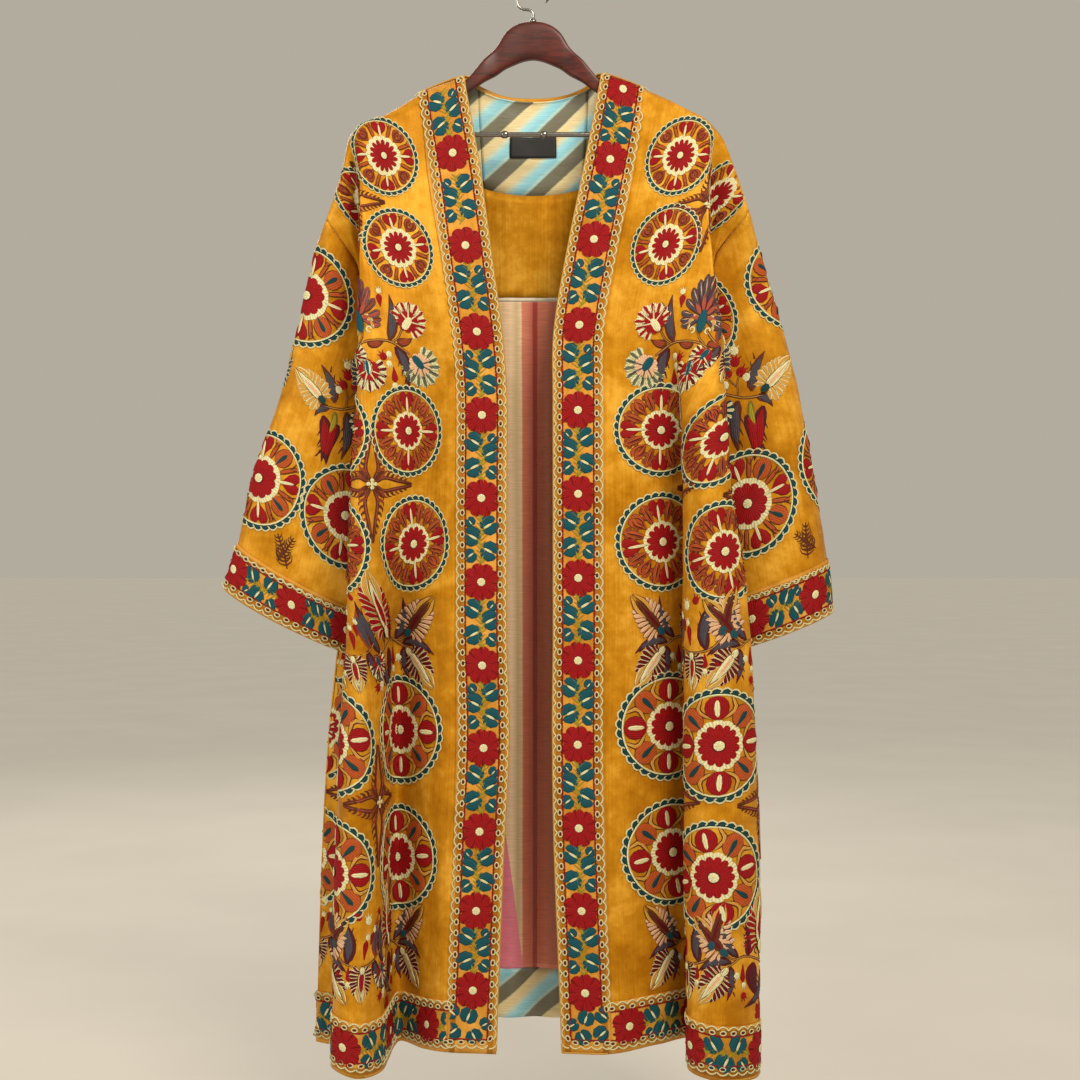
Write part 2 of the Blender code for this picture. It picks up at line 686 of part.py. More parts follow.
# ------------------------------------------------------------ linings
def back_row(row):
    """The back's points and normals at a whole or part row."""
    grid, normals = GRIDS["back"], NORMALS["back"]
    first = min(int(row), len(grid) - 2)
    part = row - first
    points = [a.lerp(b, part) for a, b in zip(grid[first], grid[first + 1])]
    ups = [a.lerp(b, part).normalized() for a, b in zip(normals[first], normals[first + 1])]
    return points, ups


def lining_piece(name, rows, finish):
    """A lining inside the back, through the given rows (whole or part)."""
    grid, ups = [], []
    first = BACK_NAMES.index(LINED_FROM)
    last = BACK_LAST - first
    for row in rows:
        points, normals = back_row(row)
        grid.append(points[first:last + 1])
        ups.append(normals[first:last + 1])
    base = pulled(grid, ("top", "bottom"))
    near = WALL + LAY_GAP
    outer = offset(base, ups, -near)
    inner = offset(base, ups, -near - LINING)
    return add_object(name, wall_mesh(name, outer, inner), finish)


def linings(finishes):
    """Neck facing, yoke, piping, striped lining and hem facing."""
    facing_end = ROW_PLACES.index(2.0)
    yoke_end = ROW_PLACES.index(3.0)
    middle = len(GRIDS["back"][0]) // 2
    here = GRIDS["back"][yoke_end][middle]
    below = GRIDS["back"][yoke_end + 1][middle]
    piping_end = yoke_end + PIPING / (below - here).length
    last = len(GRIDS["back"]) - 1
    lining_piece("neck_facing", range(0, facing_end + 1), finishes["stripe"])
    lining_piece("yoke_lining", range(facing_end, yoke_end + 1), finishes["velvet"])
    lining_piece("lining_piping", [yoke_end, piping_end], finishes["piping"])
    lining_piece("back_lining", [piping_end] + list(range(yoke_end + 1, BORDER_ROW + 1)),
                 finishes["lining"])
    lining_piece("hem_facing", range(BORDER_ROW, last + 1), finishes["stripe"])


def neck_label(finish):
    """A bare label on the inside of the neck facing, below the neckline."""
    grid, ups = GRIDS["back"], NORMALS["back"]
    middle = len(grid[0]) // 2
    width, height = LABEL_SIZE
    low, high = [], []
    for step in range(LABEL_STEPS + 1):
        z = LABEL_TOP - height * step / LABEL_STEPS
        low_line, high_line = [], []
        for side in range(-LABEL_STEPS // 2, LABEL_STEPS // 2 + 1):
            x = width * side / LABEL_STEPS
            column = middle if x >= 0 else middle - 1
            part_x = x / (grid[1][middle + 1].x - grid[1][middle].x)
            part_x = part_x if x >= 0 else 1 + part_x
            for r in range(len(grid) - 1):
                top = grid[r][column].lerp(grid[r][column + 1], part_x)
                bottom = grid[r + 1][column].lerp(grid[r + 1][column + 1], part_x)
                if bottom.z <= z:
                    break
            t = (z - top.z) / (bottom.z - top.z)
            up = ups[r][column].lerp(ups[r + 1][column], t).normalized()
            point = top.lerp(bottom, t)
            near = WALL + 2 * LAY_GAP + LINING + LABEL_LIFT
            low_line.append(point - up * near)
            high_line.append(point - up * (near + LINING))
        low.append(low_line)
        high.append(high_line)
    return add_object("neck_label", wall_mesh("neck_label", high, low), finish)


# ------------------------------------------------------------ assembly
ROBE = reset()
FINISHES = {
    "velvet": material("gold_silk_velvet", (0.70, 0.34, 0.04), 0.45),
    "band": material("embroidered_band", (0.62, 0.16, 0.05), 0.6),
    "stripe": material("striped_ikat_silk", (0.55, 0.62, 0.52), 0.5),
    "lining": material("striped_lining", (0.36, 0.12, 0.08), 0.5),
    "piping": material("pale_piping", (0.75, 0.68, 0.50), 0.5),
    "label": material("black_woven_label", (0.02, 0.02, 0.02), 0.6),
    "wood": material("varnished_mahogany", (0.16, 0.03, 0.015), 0.25),
    "steel": material("dark_chromed_steel", (0.35, 0.35, 0.36), 0.25, 1.0),
}

GRIDS = {"front_left": front_grid(LEFT_FRONT), "front_right": front_grid(RIGHT_FRONT)}
GRIDS["back"], BACK_NAMES = back_grid(LEFT_FRONT, RIGHT_FRONT)
BACK_LAST = len(GRIDS["back"][0]) - 1
GRIDS["sleeve_left"] = sleeve_grid(GRIDS["front_left"], GRIDS["back"], 0, LEFT_SLEEVE)
GRIDS["sleeve_right"] = sleeve_grid(GRIDS["front_right"], GRIDS["back"], BACK_LAST, RIGHT_SLEEVE)
NORMALS = {
    "front_left": face_normals(GRIDS["front_left"], False, False),
    "front_right": face_normals(GRIDS["front_right"], False, True),
    "back": face_normals(GRIDS["back"], False, False),
    "sleeve_left": face_normals(GRIDS["sleeve_left"], True, True),
    "sleeve_right": face_normals(GRIDS["sleeve_right"], True, False),
}


def shoulder_normals():
    """Along the shoulder both panels end in the plane square to the ridge."""
    neck = BACK_NAMES.index("opening")
    for key in ("front_left", "front_right", "back"):
        line = GRIDS[key][0]
        last = len(line) - 1
        for index in range(last + 1):
            if key == "back" and neck < index < last - neck:
                continue
            low, high = max(index - 1, 0), min(index + 1, last)
            if key == "back" and index in (neck, last - neck):
                low, high = (index - 1, index) if index == neck else (index, index + 1)
            along = line[high] - line[low]
            up = along.cross(Vector((0, 1, 0))).normalized()
            NORMALS[key][0][index] = up if up.z > 0 else -up


def seam_groups():
    """The points that meet at the side seams and armholes."""
    groups = []
    for side, edge in (("left", 0), ("right", BACK_LAST)):
        front, sleeve = "front_" + side, "sleeve_" + side
        last = len(GRIDS[front][0]) - 1
        for row in range(UNDERARM_ROW + 1, len(GRIDS[front])):
            groups.append([(front, row, last), ("back", row, edge)])
        groups.append([(front, 0, last), ("back", 0, edge), (sleeve, 0, 0)])
        groups.append([(front, UNDERARM_ROW, last), ("back", UNDERARM_ROW, edge),
                       (sleeve, 0, UNDERARM_ROW)])
        for row in range(1, UNDERARM_ROW):
            groups.append([(front, row, last), (sleeve, 0, row)])
            groups.append([("back", row, edge), (sleeve, 0, 2 * UNDERARM_ROW - row)])
    return groups


def build_cloth():
    """Every cloth piece, panel by panel."""
    last_row = len(ROW_PLACES) - 1
    panel_wall("back", "back", ("top", "start", "end"), FINISHES["velvet"])
    laid_piece("hem_border_back", "back", (BORDER_ROW, last_row), (0, BACK_LAST),
               ("start", "end"), FINISHES["band"], LAY_GAP, TRIM)
    for side in ("left", "right"):
        front, sleeve = "front_" + side, "sleeve_" + side
        last = len(GRIDS[front][0]) - 1
        cuff = len(GRIDS[sleeve]) - 2
        ring = len(GRIDS[sleeve][0]) - 1
        panel_wall(front, front, ("top", "end"), FINISHES["velvet"])
        panel_wall(sleeve, sleeve, ("top",), FINISHES["velvet"], closed=True, gap=ARMHOLE_GAP)
        laid_piece("band_" + side, front, (0, last_row), (0, FRONT_STEPS),
                   ("top", "end"), FINISHES["band"], LAY_GAP, TRIM)
        laid_piece("hem_border_" + side, front, (BORDER_ROW, last_row), (FRONT_STEPS, last),
                   ("start", "end"), FINISHES["band"], LAY_GAP, TRIM)
        laid_piece("cuff_" + side, sleeve, (cuff, cuff + 1), (0, ring),
                   (), FINISHES["band"], LAY_GAP, TRIM, closed=True)
    neck_band(FINISHES["band"])
    linings(FINISHES)
    neck_label(FINISHES["label"])


def build_hanger():
    """The hanger that carries the robe."""
    hanger_wood(FINISHES["wood"])
    trouser_bar(FINISHES["steel"])
    ferrule(FINISHES["steel"])
    hook(FINISHES["steel"])


shoulder_normals()
share_normals(seam_groups(), GRIDS, NORMALS)
build_cloth()
build_hanger()
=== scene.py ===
# %% [markdown]
# # An embroidered chapan robe on its hanger
# A chapan is a long open coat from Central Asia. This one is gold silk velvet,
# worked all over by hand with a hooked needle: round suzani flowers, sprays of
# carnations and leaves, and flowered bands down the fronts, cuffs and hem.
#
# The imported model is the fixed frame. Each velvet panel here is a finer shell on
# the same form, and all the needlework is laid on it in flat pattern coordinates,
# in millimetres, just as it was drawn on the uncut cloth.

# %% Load the frame
import json
import math

import bmesh
import bpy
import numpy as np
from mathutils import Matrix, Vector

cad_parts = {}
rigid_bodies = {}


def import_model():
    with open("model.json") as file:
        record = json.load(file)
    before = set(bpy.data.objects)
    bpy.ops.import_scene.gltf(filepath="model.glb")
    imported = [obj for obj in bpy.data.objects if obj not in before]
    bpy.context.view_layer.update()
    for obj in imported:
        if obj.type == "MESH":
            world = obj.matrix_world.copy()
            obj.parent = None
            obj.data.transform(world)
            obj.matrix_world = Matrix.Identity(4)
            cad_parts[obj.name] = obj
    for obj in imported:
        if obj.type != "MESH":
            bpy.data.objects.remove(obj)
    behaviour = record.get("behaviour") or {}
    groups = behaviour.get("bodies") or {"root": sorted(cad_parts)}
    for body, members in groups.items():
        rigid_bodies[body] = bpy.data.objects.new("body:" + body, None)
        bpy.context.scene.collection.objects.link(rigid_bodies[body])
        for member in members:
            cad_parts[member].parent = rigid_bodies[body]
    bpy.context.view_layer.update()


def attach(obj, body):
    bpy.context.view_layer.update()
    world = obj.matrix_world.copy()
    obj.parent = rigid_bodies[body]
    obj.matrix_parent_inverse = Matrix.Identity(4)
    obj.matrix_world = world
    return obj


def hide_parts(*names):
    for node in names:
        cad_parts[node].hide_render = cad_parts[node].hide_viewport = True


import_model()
BODY = "root"

# %% [markdown]
# ## The form of the cloth
# A maker would say where each fold hangs, so the form is a table of fold lines.
# A line runs down the cloth, and at each station it has a place across and a
# depth. The same lines shape the solids of the frame. Between them the cloth is
# a smooth surface, and here that surface is sampled every few millimetres.

# %% Stations
SHOULDER_ROLL = 15.0   # how far the cloth rolls over the hanger, forward and down
STATIONS = {
    # name: level, and how far the lines have settled to it
    "shoulder": (0, 0), "crest": (0, 0), "chest": (-238, 0.32), "armhole": (-340, 0.67),
    "bust": (-436, 1), "underarm": (-517, 1), "waist": (-613, 1), "elbow": (-708, 1),
    "hip": (-802, 1), "thigh": (-920, 1), "knee": (-1050, 1), "border": (-1228, 1), "hem": (-1289, 1),
}
LEVELS, SETTLED = np.array(list(STATIONS.values())).T
UNDERARM, BORDER = (list(STATIONS).index(name) for name in ("underarm", "border"))
print(len(STATIONS), "stations down the cloth")

# %% Fold lines of the fronts
LEFT_FRONT = [
    # name, height on the shoulder, rise of the hem, then across and depth at each station
    ("opening", -126, -1,
     (-83, -81, -64, -50, -37, -31, -31, -31, -31, -28, -34, -41, -43),
     (-6, -20, -27, -36, -42, -45, -48, -50, -52, -54, -56, -59, -60)),
    ("band", -149, -4,
     (-136, -133, -125, -109, -95, -91, -91, -91, -91, -90, -93, -99, -101),
     (-16, -30, -38, -47, -52, -54, -56, -57, -58, -58, -60, -61, -62)),
    ("panel", -165, 0,
     (-159, -156, -147, -135, -120, -118, -120, -122, -125, -126, -127, -129, -130),
     (-22, -36, -45, -56, -64, -70, -74, -68, -42, -38, -36, -35, -34)),
    ("valley", -177, 2,
     (-178, -175, -168, -159, -148, -147, -150, -154, -163, -164, -166, -165, -164),
     (-28, -42, -51, -64, -78, -88, -94, -78, -24, -8, -4, -2, 0)),
    ("flank", -184, 13,
     (-193, -190, -186, -180, -170, -172, -176, -176, -176, -178, -179, -178, -177),
     (-33, -47, -57, -71, -87, -101, -107, -102, -72, -66, -68, -74, -78)),
    ("crest", -188, 13,
     (-201, -198, -195, -191, -187, -189, -193, -194, -195, -198, -200, -202, -202),
     (-36, -50, -60, -76, -93, -107, -113, -114, -102, -98, -100, -104, -106)),
    ("ridge", -193, 5,
     (-208, -205, -203, -202, -202, -203, -209, -212, -216, -223, -227, -231, -232),
     (-38, -51, -60, -76, -86, -96, -100, -100, -92, -84, -84, -87, -88)),
    ("tuck", -207, 3,
     (-219, -217, -206, -197, -198, -195, -196, -199, -204, -218, -228, -231, -232),
     (-36, -44, -22, -16, -44, -52, -58, -58, -50, -38, -34, -34, -34)),
    ("inner", -252, 8,
     (-230, -229, -217, -204, -196, -185, -175, -172, -176, -210, -229, -237, -238),
     (-30, -34, -20, -10, -14, -14, 4, 8, 6, 2, 2, 2, 2)),
    ("side", -302, 8,
     (-248, -243, -214, -203, -197, -189, -202, -224, -240, -252, -259, -264, -265),
     (-24, -26, -10, -5, -2, 4, 32, 36, 34, 28, 24, 20, 20)),
]

RIGHT_FRONT = [
    ("opening", -123, -2,
     (83, 80, 62, 41, 25, 24, 24, 24, 24, 23, 25, 32, 34),
     (-6, -20, -27, -36, -42, -45, -48, -50, -52, -54, -56, -59, -60)),
    ("band", -143, -2,
     (133, 131, 120, 100, 84, 84, 84, 84, 83, 83, 86, 91, 93),
     (-16, -30, -38, -47, -52, -54, -56, -57, -58, -58, -60, -61, -62)),
    ("panel", -154, -6,
     (156, 154, 145, 133, 120, 126, 132, 134, 133, 134, 137, 143, 145),
     (-22, -36, -45, -55, -62, -58, -52, -48, -46, -44, -42, -41, -40)),
    ("valley", -165, -4,
     (176, 173, 168, 160, 151, 173, 188, 191, 192, 194, 196, 199, 200),
     (-27, -41, -51, -63, -70, -58, -28, -20, -16, -12, -8, -4, -2)),
    ("flank", -174, 8,
     (191, 187, 185, 182, 176, 173, 175, 175, 175, 177, 177, 180, 181),
     (-31, -45, -55, -69, -82, -84, -80, -76, -74, -74, -76, -82, -84)),
    ("crest", -181, 14,
     (203, 199, 197, 198, 198, 197, 199, 203, 208, 212, 213, 214, 215),
     (-34, -47, -58, -74, -90, -106, -110, -110, -108, -106, -108, -112, -114)),
    ("ridge", -192, 17,
     (214, 208, 206, 210, 218, 222, 228, 243, 253, 257, 261, 260, 259),
     (-38, -50, -60, -76, -86, -96, -98, -92, -86, -82, -82, -86, -88)),
    ("tuck", -208, 13,
     (226, 217, 211, 206, 207, 207, 213, 224, 239, 254, 261, 262, 261),
     (-38, -40, -22, -16, -46, -54, -62, -68, -58, -44, -40, -40, -40)),
    ("inner", -240, 8,
     (240, 237, 224, 211, 204, 197, 196, 199, 211, 238, 255, 261, 261),
     (-32, -34, -22, -10, -12, -14, -4, -6, -6, 0, 2, 4, 4)),
    ("side", -291, 5,
     (259, 255, 220, 212, 207, 200, 201, 205, 219, 239, 251, 258, 259),
     (-24, -26, -10, -5, -2, 4, 14, 16, 18, 22, 24, 26, 26)),
]
print(len(LEFT_FRONT), "fold lines in the left front,", len(RIGHT_FRONT), "in the right one")

# %% Fold lines of the back
BACK_FOLDS = [
    # name, share of the half width, share of the wave
    ("side", 1.00, 0.00), ("inner", 0.97, 0.30), ("tuck", 0.93, 0.64), ("ridge", 0.84, 0.55),
    ("crest", 0.76, 0.10), ("flank", 0.68, -0.34), ("valley", 0.58, -0.30), ("panel", 0.48, 0.10),
    ("band", 0.38, 0.34), ("opening", 0.26, 0.16),
]
NECK_FOLDS = [
    # name, share, wave, across, then depth and height on the shoulder and the crest
    ("collar", 0.20, 0.04, 67, (9, 17), (-134, -154)),
    ("nape", 0.11, -0.12, 38, (20, 25), (-143, -161)),
    ("centre", 0.00, 0.00, 0, (24, 30), (-146, -163)),
]
BACK_DEPTH, BACK_WAVE, BACK_SPREAD, BACK_CENTRE, ARMHOLE_OPEN = np.array([
    # depth, wave, spread, level in the middle, and how far the armhole's edge stands behind
    (0, 0, 0, 0, 0), (0, 0, 0, 0, 8), (34, 6, 0.3, -261, 16), (36, 14, 0.6, -386, 17),
    (38, 22, 0.85, -452, 18), (40, 30, 1, -526, 0), (42, 36, 1, -618, 0), (44, 40, 1, -710, 0),
    (46, 43, 1, -802, 0), (48, 45, 1, -918, 0), (50, 47, 1, -1046, 0), (53, 49, 1, -1214, 0),
    (54, 50, 1, -1275, 0)]).T
SHOULDER_GAP, BACK_MARGIN = 0.5, 6.0
print(2 * (len(BACK_FOLDS) + len(NECK_FOLDS)) - 1, "fold lines in the back")

# %% Rings of the sleeves
SLEEVES = {
    "left": [
        # outer x, z,   inner x, z,    depth, half, droop
        (-262, -331, -197, -556, -6, 15, 0),
        (-279, -408, -198, -612, -6, 19, 0),
        (-298, -486, -199, -665, -6, 21, 2),
        (-317, -545, -201, -706, -6, 22, 4),
        (-338, -604, -203, -744, -6, 22, 6),
        (-356, -687, -205, -768, -6, 20, 8),
        (-373, -741, -208, -822, -6, 18, 10),
    ],
    "right": [
        (270, -320, 208, -546, -6, 16, 0),
        (283, -368, 210, -596, -6, 21, 0),
        (300, -426, 214, -642, -6, 25, 0),
        (318, -491, 219, -684, -5, 29, 0),
        (331, -560, 224, -714, -4, 33, 0),
        (343, -632, 229, -738, -4, 36, 0),
        (355, -706, 232, -755, -4, 38, 2),
        (361, -770, 235, -818, -4, 38, 3),
    ],
}
SLEEVE_TURN = (0, 3, 6, 8, 10, 11)        # the armhole's stations round half a sleeve, of 11
print("rings of the sleeves:", {side: len(rings) for side, rings in SLEEVES.items()})

# %% [markdown]
# ## A smooth surface through the lines
# NumPy samples all the lines at once. Tangents are never longer than the step
# between two stations, so a sharp fold stays sharp and nothing overshoots.

# %% Smooth curves
def smooth(points, places):
    """The smooth curve through points (first axis), at whole or part indices."""
    points, places = np.asarray(points, float), np.asarray(places, float)
    index = np.minimum(places.astype(int), len(points) - 2)
    part = (places - index).reshape((-1,) + (1,) * (points.ndim - 1))
    start, end, slope = points[index], points[index + 1], np.gradient(points, axis=0)
    leave, arrive = slope[index], slope[index + 1]
    reach = np.linalg.norm(end - start, axis=-1, keepdims=True)
    for tangent in (leave, arrive):
        length = np.linalg.norm(tangent, axis=-1, keepdims=True)
        tangent *= np.minimum(1.0, reach / np.maximum(length, 1e-9))
    square, cube = part ** 2, part ** 3
    return (start * (2 * cube - 3 * square + 1) + leave * (cube - 2 * square + part)
            + end * (3 * square - 2 * cube) + arrive * (cube - square))


def between(values, places):
    """Values read at whole or part indices of their first axis."""
    low = np.clip(np.asarray(places).astype(int), 0, len(values) - 2)
    part = (places - low).reshape(low.shape + (1,) * (np.ndim(values) - 1))
    return values[low] * (1 - part) + values[low + 1] * part


def read_at(places, known, values):
    """Columns of values, known at some places, read at others."""
    return np.stack([np.interp(places, known, column) for column in values.T], axis=1)


def travelled(points, axis=0):
    """The distance from the first of a row of points to each of them."""
    steps = np.linalg.norm(np.diff(points, axis=axis), axis=-1)
    return np.insert(np.cumsum(steps, axis=axis), 0, 0.0, axis=axis)


def quads_of(rows, columns):
    """The corners of every cell of a grid of points."""
    index = np.arange(rows * columns).reshape(rows, columns)
    corners = index[:-1, :-1], index[:-1, 1:], index[1:, 1:], index[1:, :-1]
    return np.stack(corners, axis=2).reshape(-1, 4)


# %% Rows of the fine shell
CLOTH_STEP = 9.0                         # mm between two rows
FRONT_COLUMNS, BACK_COLUMNS = 12, 6      # columns between two fold lines


def fine_rows():
    """Part station numbers down the cloth, about CLOTH_STEP apart."""
    levels = [-150, -175, *LEVELS[2:]]
    places = []
    for index, (high, low) in enumerate(zip(levels, levels[1:])):
        count = max(4, round((high - low) / CLOTH_STEP))
        places += [index + step / count for step in range(count)]
    return np.array(places + [len(STATIONS) - 1.0])


ROWS = fine_rows()
UNDERARM_ROW = int(np.argmin(abs(ROWS - UNDERARM)))
BORDER_ROW = int(np.argmin(abs(ROWS - BORDER)))
print(len(ROWS), "rows down the fine shell")


# %% Fold lines in space
def loft(lines, columns_each):
    """Rows and columns of points through fold lines; above the crest they roll over the hanger."""
    lines = np.array(lines, float).transpose(1, 0, 2)
    rolled = ROWS[ROWS < 1][:, None]
    turn = rolled * math.pi / 2
    fall = lines[1] - lines[0]
    roll = np.stack([lines[0][:, 0] + fall[:, 0] * rolled,
                     lines[0][:, 1] + fall[:, 1] * np.sin(turn),
                     lines[0][:, 2] + fall[:, 2] * (1 - np.cos(turn))], axis=2)
    hanging = smooth(lines, ROWS[ROWS >= 1])
    rows = np.concatenate([roll, hanging]).transpose(1, 0, 2)
    columns = np.arange((len(rows) - 1) * columns_each + 1) / columns_each
    return smooth(rows, columns).transpose(1, 0, 2)


BELOW_ARM = len(STATIONS) - 1 - UNDERARM         # steps from the underarm to the hem


def front_line(name, top, drop, across, depth):
    """The place of a front's fold line at each station."""
    over = top - SHOULDER_ROLL * (0.4 if name == "side" else 1.0)
    hang = np.linspace(-UNDERARM / BELOW_ARM, 1, len(STATIONS)).clip(0)
    height = np.where(SETTLED < 1, over + SETTLED * (LEVELS[UNDERARM - 1] - over), LEVELS - drop * hang)
    height[0] = top
    return np.stack([across, depth, height], axis=1)


def back_line(share, wave, start, side, order):
    """The place of a back's fold line at each station; it starts on the front's line of its name."""
    edge = side + np.outer(ARMHOLE_OPEN, (0, 1, 0))
    if share == 1:
        return edge
    across = start[1][0] + (edge[:, 0] * share - start[1][0]) * BACK_SPREAD
    room = abs(edge[:, 0]) - BACK_MARGIN * (order + 1)
    line = np.stack([np.copysign(np.minimum(abs(across), room), edge[:, 0]),
                     edge[:, 1] + (BACK_DEPTH - edge[:, 1]) * (1 - share ** 6) + wave * BACK_WAVE,
                     edge[:, 2] + (BACK_CENTRE - edge[:, 2]) * (1 - share ** 2)], axis=1)
    line[:2] = [(start[index][0], start[0][1] + behind, start[index][2])
                for index, behind in enumerate((SHOULDER_GAP, SHOULDER_ROLL))]
    return line


def neck_line(share, wave, across, depth, height, side):
    """The place of a fold line that starts on the back neck."""
    line = np.stack([across + (side[:, 0] * share - across) * BACK_SPREAD,
                     BACK_DEPTH + wave * BACK_WAVE,
                     BACK_CENTRE + (side[:, 2] - BACK_CENTRE) * share ** 2], axis=1)
    line[:2] = [(across, *place) for place in zip(depth, height)]
    return line


def back_lines():
    """The back's lines, from the left side seam to the right one."""
    halves = []
    for folds, sign in ((LEFT_FRONT, -1), (RIGHT_FRONT, 1)):
        fronts = {fold[0]: front_line(*fold) for fold in folds}
        side = fronts["side"]
        halves.append([back_line(share, wave, fronts[name], side, order)
                       for order, (name, share, wave) in enumerate(BACK_FOLDS)]
                      + [neck_line(share, wave, sign * across, depth, height, side)
                         for _, share, wave, across, depth, height in NECK_FOLDS])
    return halves[0] + halves[1][-2::-1]


# %% Sleeves, and all the surfaces
down = np.interp(ROWS[:UNDERARM_ROW + 1], range(UNDERARM + 1), SLEEVE_TURN) / SLEEVE_TURN[-1]
AROUND = np.concatenate([down * math.pi, 2 * math.pi - down[-2:0:-1] * math.pi])


def sleeve_surface(front, back_edge, rings):
    """A sleeve from the armhole seam to the cuff, its columns going round it."""
    shapes = [np.concatenate([front[:UNDERARM_ROW + 1, -1], back_edge[UNDERARM_ROW - 1:0:-1]])]
    for outer_x, outer_z, inner_x, inner_z, depth, half, droop in rings:
        outer, inner = np.array((outer_x, depth, outer_z)), np.array((inner_x, depth, inner_z))
        ring = (outer + inner) / 2 + np.cos(AROUND)[:, None] * (outer - inner) / 2
        ring[:, 1] -= half * np.sin(AROUND)
        ring[:, 2] -= droop * np.maximum(0.0, np.sin(AROUND))
        shapes.append(ring)
    counts = [12, 9] + [round(70 / CLOTH_STEP)] * (len(rings) - 2)
    places = [index + step / count for index, count in enumerate(counts) for step in range(count)]
    return smooth(np.array(shapes), np.array(places + [float(len(rings))]))


SURFACES = {"front_left": loft([front_line(*fold) for fold in LEFT_FRONT], FRONT_COLUMNS),
            "front_right": loft([front_line(*fold) for fold in RIGHT_FRONT], FRONT_COLUMNS),
            "back": loft(back_lines(), BACK_COLUMNS)}
for side, edge in (("left", 0), ("right", -1)):
    SURFACES["sleeve_" + side] = sleeve_surface(SURFACES["front_" + side], SURFACES["back"][:, edge],
                                                SLEEVES[side])
for name, points in SURFACES.items():
    print(name, "is sampled at", points.shape[0], "rows of", points.shape[1], "points")

# %% [markdown]
# ## Flat pattern coordinates
# Needlework is drawn on flat cloth. So each panel gets a chart: u runs across the
# cloth from a chosen fold line, v runs down it, both in millimetres. Measuring u
# along each level section keeps a drawn circle round when the cloth folds.

# %% Normals
OUTWARD = {"front_left": 1, "front_right": -1, "back": 1, "sleeve_left": -1, "sleeve_right": 1}


def unit(vectors):
    """The same vectors, each of length one."""
    return vectors / np.maximum(np.linalg.norm(vectors, axis=-1, keepdims=True), 1e-9)


def with_normals(points, closed, sign):
    """A grid of points with its unit normals, outwards, as three more columns."""
    if closed:
        across = np.roll(points, -1, axis=1) - np.roll(points, 1, axis=1)
    else:
        across = np.gradient(points, axis=1)
    normals = np.cross(across, np.gradient(points, axis=0)) * sign
    return np.concatenate([points, unit(normals)], axis=2)


def lifted(grid, height):
    """The grid of points and normals, moved along its normals."""
    return np.concatenate([grid[..., :3] + grid[..., 3:] * height, grid[..., 3:]], axis=2)


# %% Charts
CHART_STEP = 3.0       # mm between two places that a chart knows


class Chart:
    """Finds the place on a panel of a point drawn at (u, v) on the flat cloth."""

    def __init__(self, grid, levels, start=0):
        self.v = np.arange(levels.min(), levels.max() + CHART_STEP, CHART_STEP)
        cut = np.stack([read_at(self.v, level, column) for level, column
                        in zip(levels.T, grid.transpose(1, 0, 2))], axis=1)
        inside = (self.v[:, None] >= levels[0] - 0.5) & (self.v[:, None] <= levels[-1] + 0.5)
        across = travelled(cut[:, :, :3], axis=1)
        self.across = across - across[:, start:start + 1]
        self.u = np.arange(self.across.min(), self.across.max() + CHART_STEP, CHART_STEP)
        self.grid = np.stack([read_at(self.u, u, row) for u, row in zip(self.across, cut)])
        near = np.stack([np.interp(self.u, u, row) for u, row in zip(self.across, inside.astype(float))])
        self.inside = (near > 0.5) & (self.u >= self.across[:, :1]) & (self.u <= self.across[:, -1:])

    def place(self, u, v):
        """Points, normals and whether they lie on the panel, for arrays of u and v."""
        column = np.clip((u - self.u[0]) / CHART_STEP, 0, len(self.u) - 1.001)
        row = np.clip((v - self.v[0]) / CHART_STEP, 0, len(self.v) - 1.001)
        c, r = column.astype(int), row.astype(int)
        x, y = (column - c)[:, None], (row - r)[:, None]
        found = ((self.grid[r, c] * (1 - x) + self.grid[r, c + 1] * x) * (1 - y)
                 + (self.grid[r + 1, c] * (1 - x) + self.grid[r + 1, c + 1] * x) * y)
        on = (self.inside[r, c] & self.inside[r + 1, c + 1]
              & (u >= self.u[0]) & (u <= self.u[-1]) & (v >= self.v[0]) & (v <= self.v[-1]))
        return found[:, :3], unit(found[:, 3:]), on

    def flat(self, levels):
        """u of every point of the panel's own grid."""
        return np.stack([np.interp(level, self.v, u) for level, u in zip(levels.T, self.across.T)], axis=1)
